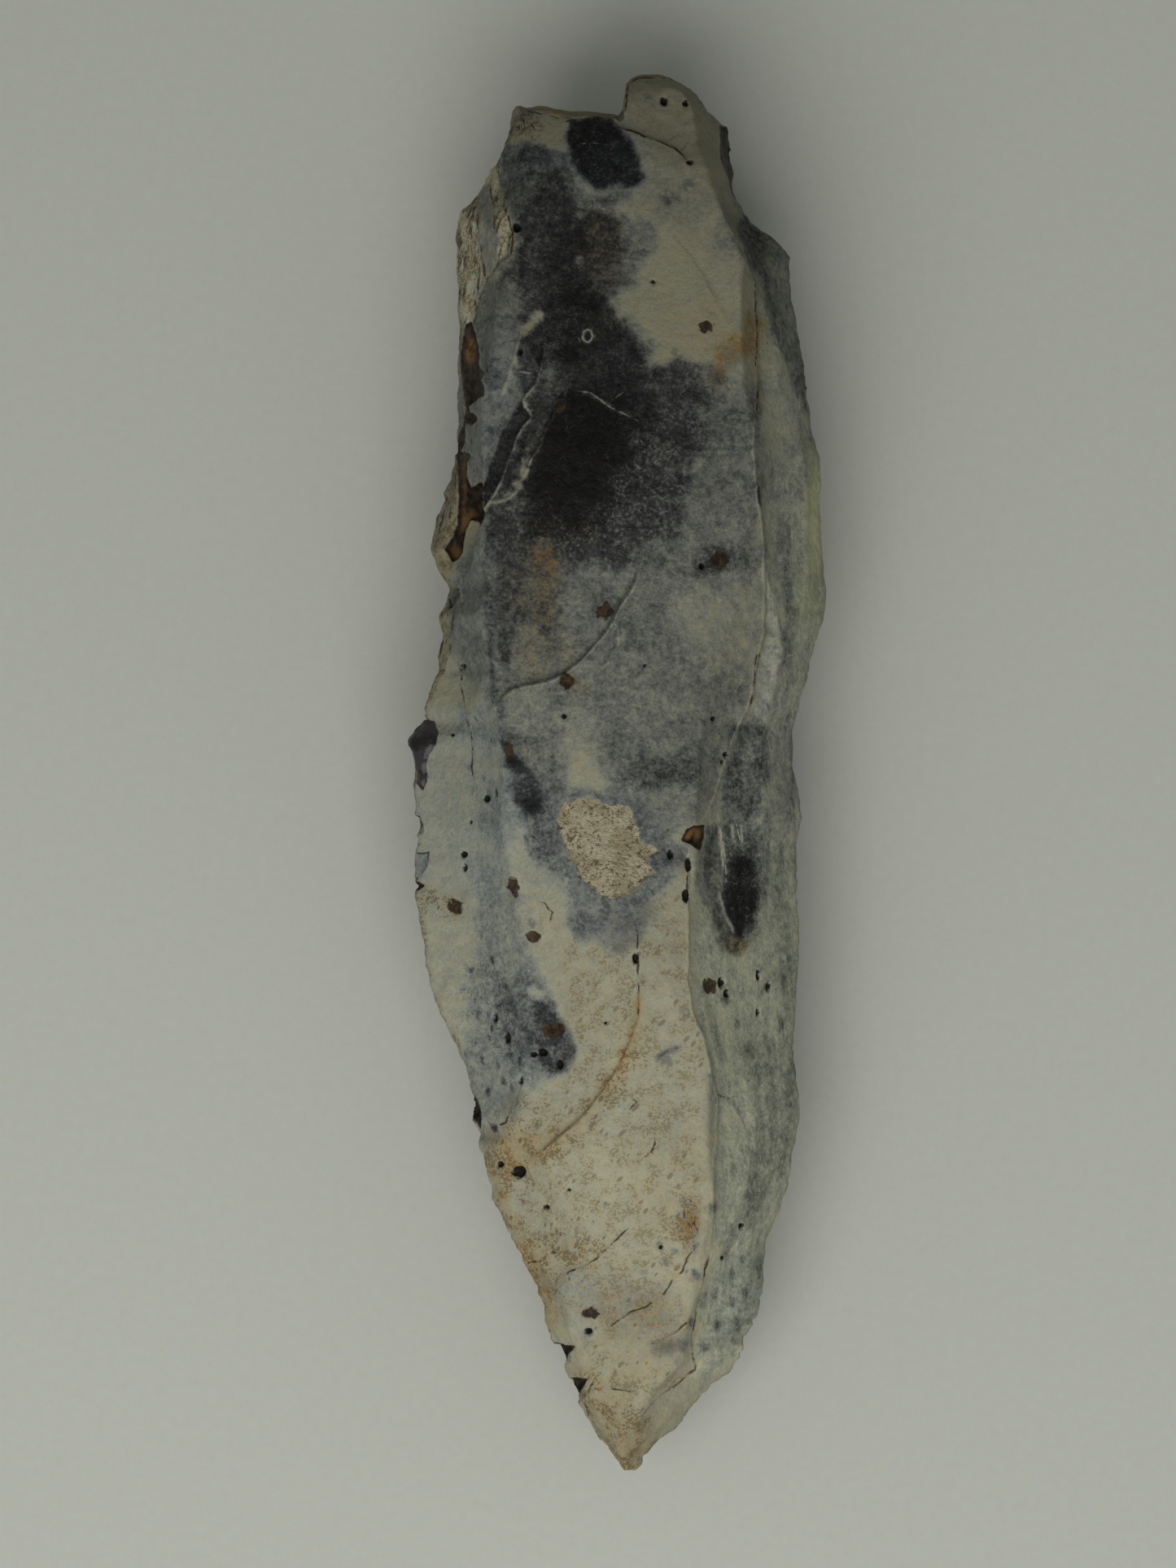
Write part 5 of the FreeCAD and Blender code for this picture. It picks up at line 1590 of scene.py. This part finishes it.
flank_dashes = specks(560.0, 0.25, 0.40, 0.06, (1.0, 2.6, 1.2))
dash_share = times(times(flank_dashes, streak_field), times(ramp(fine_grain, -0.8, 0.2), 0.72))
blue_dashes = specks(800.0, 0.24, 0.34, 0.55, (1.0, 2.2, 1.0))
blue_zone = times(ramp(patina_field, 0.40, 0.58), ramp(patina_field, 0.94, 0.74))
blue_share = times(times(blue_dashes, blue_zone), plus(0.25, times(field("coolness"), 1.1)))
DASH_BLUE = srgb(62, 67, 66)
colour = mixed(larger(dash_share, blue_share), colour, DASH_BLUE)
print("nodes so far:", len(tree.nodes))

# %% Stain, coolness, tint, lines, spots, and tone with painted light
stain_field = field("stain")
stain_grain = plus(times(patches, 0.10), plus(times(small_patches, 0.22), times(fine_grain, 0.20)))
stain_share = capped(stain_field, plus(1.0, stain_grain))
STAIN_TINT = (0.96, 0.76, 0.51, 1.0)
stain_colour = tinted(colour, STAIN_TINT)
colour = mixed(stain_share, colour, stain_colour)
deposit = ramp(stain_share, 0.64, 1.1)
DEPOSIT_BROWN = srgb(122, 90, 50)
colour = mixed(times(deposit, 0.60), colour, DEPOSIT_BROWN)

COOL_TINT = (0.93, 1.0, 1.17, 1.0)
cool_colour = tinted(colour, COOL_TINT)
colour = mixed(field("coolness"), colour, cool_colour)
YELLOW_TINT = srgb(152, 155, 112)
colour = mixed(times(field("tint"), 0.75), colour, YELLOW_TINT)

line_break = ramp(grain(600.0, 3.0), -0.55, 0.45)
dark_line_mask = times(thin_line("dark_line", "dark_side", 1.6, 0.8), line_break)
JOINT_BROWN = srgb(47, 33, 23)
colour = mixed(times(dark_line_mask, 0.88), colour, JOINT_BROWN)


def ragged_mask(depth, softness, raggedness, per_metre):
    """The inside of a painted depth, with a ragged edge."""
    return use_group(tree, edge_group, {
        "Vector": place, "Depth": depth, "Softness": softness, "Raggedness": raggedness,
        "Per metre": per_metre})


spot_mask = ragged_mask(field("spot_depth"), 1.5, 6.5, 1500.0)
spot_colour = mixed(ramp(fine_grain, -0.4, 0.6), srgb(35, 23, 12), srgb(62, 46, 28))
colour = mixed(times(spot_mask, 0.95), colour, spot_colour)

# Painted light: the colour is multiplied by the painted light and tone field, which paints the blunt end
# darker and the bevel, the end strip and the right flank brighter.
tone_and_painted_light_channels = {channel: field("tone_and_painted_light") for channel in range(3)}
colour = tinted(colour, new_node(tree, "ShaderNodeCombineColor", inputs=tone_and_painted_light_channels).outputs[0])
print("nodes so far:", len(tree.nodes))

# %% Bruised bevel, chalk, knob, fresh flint and pits
bruise_field = field("bruised")
fibre = grain(1300.0, 4.0, turned_place(-0.25, (1.0, 4.0, 1.7)))
bruise_dark = times(bruise_field, ramp(fibre, 0.10, 0.75))
BRUISE_BROWN = srgb(38, 28, 17)
colour = mixed(times(bruise_dark, 0.80), colour, BRUISE_BROWN)

chalk_mask = ragged_mask(field("chalk_depth"), 1.2, 6.0, 1300.0)
chalk_grain = grain(2300.0, 2.0)
chalk_pores = times(ramp(chalk_grain, 0.0, -0.75), ramp(fine_grain, 0.5, -0.5))
chalk_colour = mixed(plus(patches, 0.5), srgb(136, 129, 107), srgb(122, 114, 91))
chalk_hollows = times(ramp(small_patches, 0.1, 0.5), ramp(frost_grain, -0.4, 0.6))
HOLLOW_GREY = srgb(98, 88, 70)
chalk_colour = mixed(times(chalk_hollows, 0.3), chalk_colour, HOLLOW_GREY)
CHALK_PORE = srgb(76, 64, 47)
chalk_colour = mixed(times(chalk_pores, 0.9), chalk_colour, CHALK_PORE)
colour = mixed(chalk_mask, colour, chalk_colour)

knob_mask = ragged_mask(field("knob_depth"), 1.0, 2.0, 1200.0)
knob_colour = mixed(ramp(mottle, -0.6, 0.8), srgb(16, 13, 13), srgb(44, 40, 40))
colour = mixed(knob_mask, colour, knob_colour)

fresh_field = field("fresh_depth")
fresh_rim = times(ramp(fresh_field, -4.0, -2.0), ramp(fine_grain, -0.6, 0.2))
RIM_GREY = srgb(104, 102, 90)
colour = mixed(times(fresh_rim, 0.40), colour, RIM_GREY)
fresh_mask = ragged_mask(fresh_field, 0.9, 1.6, 1500.0)
amber_grain = ramp(mottle, -1.2, 0.4)
amber_share = times(times(field("amber"), amber_grain), ramp(fresh_field, 0.5, 5.0))
fresh_dark = mixed(ramp(fine_grain, -0.5, 0.7), srgb(18, 12, 7), srgb(38, 29, 20))
AMBER = srgb(98, 72, 40)
fresh_colour = mixed(amber_share, fresh_dark, AMBER)
colour = mixed(fresh_mask, colour, fresh_colour)

pit_mask = ragged_mask(field("pit_depth"), 0.9, 3.4, 1800.0)
PIT_BLACK = srgb(9, 7, 5)
colour = mixed(times(pit_mask, 0.97), colour, PIT_BLACK)
print("nodes so far:", len(tree.nodes))

# %% Gloss and fine relief
FRESH_ROUGHNESS = 0.42
RIND_ROUGHNESS = 0.58
glassy = larger(fresh_mask, knob_mask)
rind_roughness = plus(plus(RIND_ROUGHNESS, times(mottle, 0.06)), times(chalk_mask, 0.30))
roughness = new_node(tree, "ShaderNodeMix", {"data_type": "FLOAT"}, {
    0: glassy, 2: rind_roughness, 3: FRESH_ROUGHNESS}).outputs[0]

height = plus(times(grain(900.0, 5.0), 0.030), times(fine_grain, 0.010))
height = minus(height, times(brown_share, 0.090))
height = minus(height, times(dark_line_mask, 0.060))
height = plus(height, times(times(streak_grain, streak_field), 0.018))
height = plus(height, times(times(chalk_grain, chalk_mask), 0.070))
height = plus(height, times(times(fibre, bruise_field), 0.070))
height = plus(height, times(vein_mask, 0.010))
height = times(height, minus(1.0, times(glassy, 0.8)))
relief = new_node(tree, "ShaderNodeBump", inputs={"Strength": 1.0, "Distance": MM, "Height": height})

surface = new_node(tree, "ShaderNodeBsdfPrincipled", inputs={
    "Base Color": colour, "Roughness": roughness, "Normal": relief.outputs[0],
    "Coat Weight": times(knob_mask, 0.30), "Coat Roughness": 0.15, "Specular IOR Level": 0.08, "IOR": 1.54})
new_node(tree, "ShaderNodeOutputMaterial", inputs={"Surface": surface.outputs[0]})
stone_data.materials.append(flint)
stone_data.polygons.foreach_set("use_smooth", np.ones(len(stone_data.polygons), bool))
print("nodes in the flint:", len(tree.nodes))

# %% The stone stands for the solid
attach(stone, "root")
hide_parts("flint_core_axe")

# %% [markdown]
# ## The floor and the light
#
# The photograph was taken on a plain pale surface in soft indoor light, with no hard shadow. A wide
# plane in the same pale grey, an even sky and one large lamp over the pointed end give the same soft
# shadows on both sides and a little more light at the bottom of the picture.

# %% Floor
FLOOR_HALF_M = 12.0
FLOOR_GREYS = (srgb(152, 153, 145), srgb(156, 157, 149))

floor_mesh = bmesh.new()
bmesh.ops.create_grid(floor_mesh, x_segments=1, y_segments=1, size=FLOOR_HALF_M)
floor = new_object("pale_floor", floor_mesh)
floor_look = bpy.data.materials.new("pale_floor_look")
floor_look.use_nodes = True
floor_tree = floor_look.node_tree
floor_surface = floor_tree.nodes["Principled BSDF"]
floor_place = new_node(floor_tree, "ShaderNodeTexCoord").outputs["Object"]
floor_grain = use_group(
    floor_tree, grain_group, {"Vector": floor_place, "Per metre": 900.0, "Detail": 2.0})
floor_share = maths(floor_tree, "ADD", 0.5, maths(floor_tree, "MULTIPLY", floor_grain, 0.2))
floor_colour = mix_colours(floor_tree, floor_share, *FLOOR_GREYS)
floor_tree.links.new(floor_colour, floor_surface.inputs["Base Color"])
floor_surface.inputs["Roughness"].default_value = 0.9
floor_surface.inputs["Specular IOR Level"].default_value = 0.1
floor.data.materials.append(floor_look)
print("floor, m:", [round(side, 1) for side in floor.dimensions])

# %% Light
SKY_COLOUR = (0.96, 1.0, 0.97, 1.0)
SKY_STRENGTH = 0.44
LAMP_POWER_W = 2.7
LAMP_SIDE_M = 0.50
LAMP_PLACE = Vector((-0.06, -0.27, 0.39))
LAMP_AIM = Vector((0, 0, 0.01))

world = bpy.data.worlds.new("even_sky")
world.use_nodes = True
sky = world.node_tree.nodes["Background"]
sky.inputs["Color"].default_value = SKY_COLOUR
sky.inputs["Strength"].default_value = SKY_STRENGTH
bpy.context.scene.world = world
bpy.context.scene.view_settings.view_transform = "Standard"


def add_soft_lamp(name, power, size, place, aim):
    """A large square lamp that looks at one point."""
    lamp_data = bpy.data.lights.new(name, "AREA")
    lamp_data.energy = power
    lamp_data.size = size
    lamp = bpy.data.objects.new(name, lamp_data)
    lamp.location = place
    lamp.rotation_euler = (lamp.location - aim).to_track_quat("Z", "Y").to_euler()
    lamp.visible_camera = False
    collection.objects.link(lamp)


add_soft_lamp("window_lamp", LAMP_POWER_W, LAMP_SIDE_M, LAMP_PLACE, LAMP_AIM)
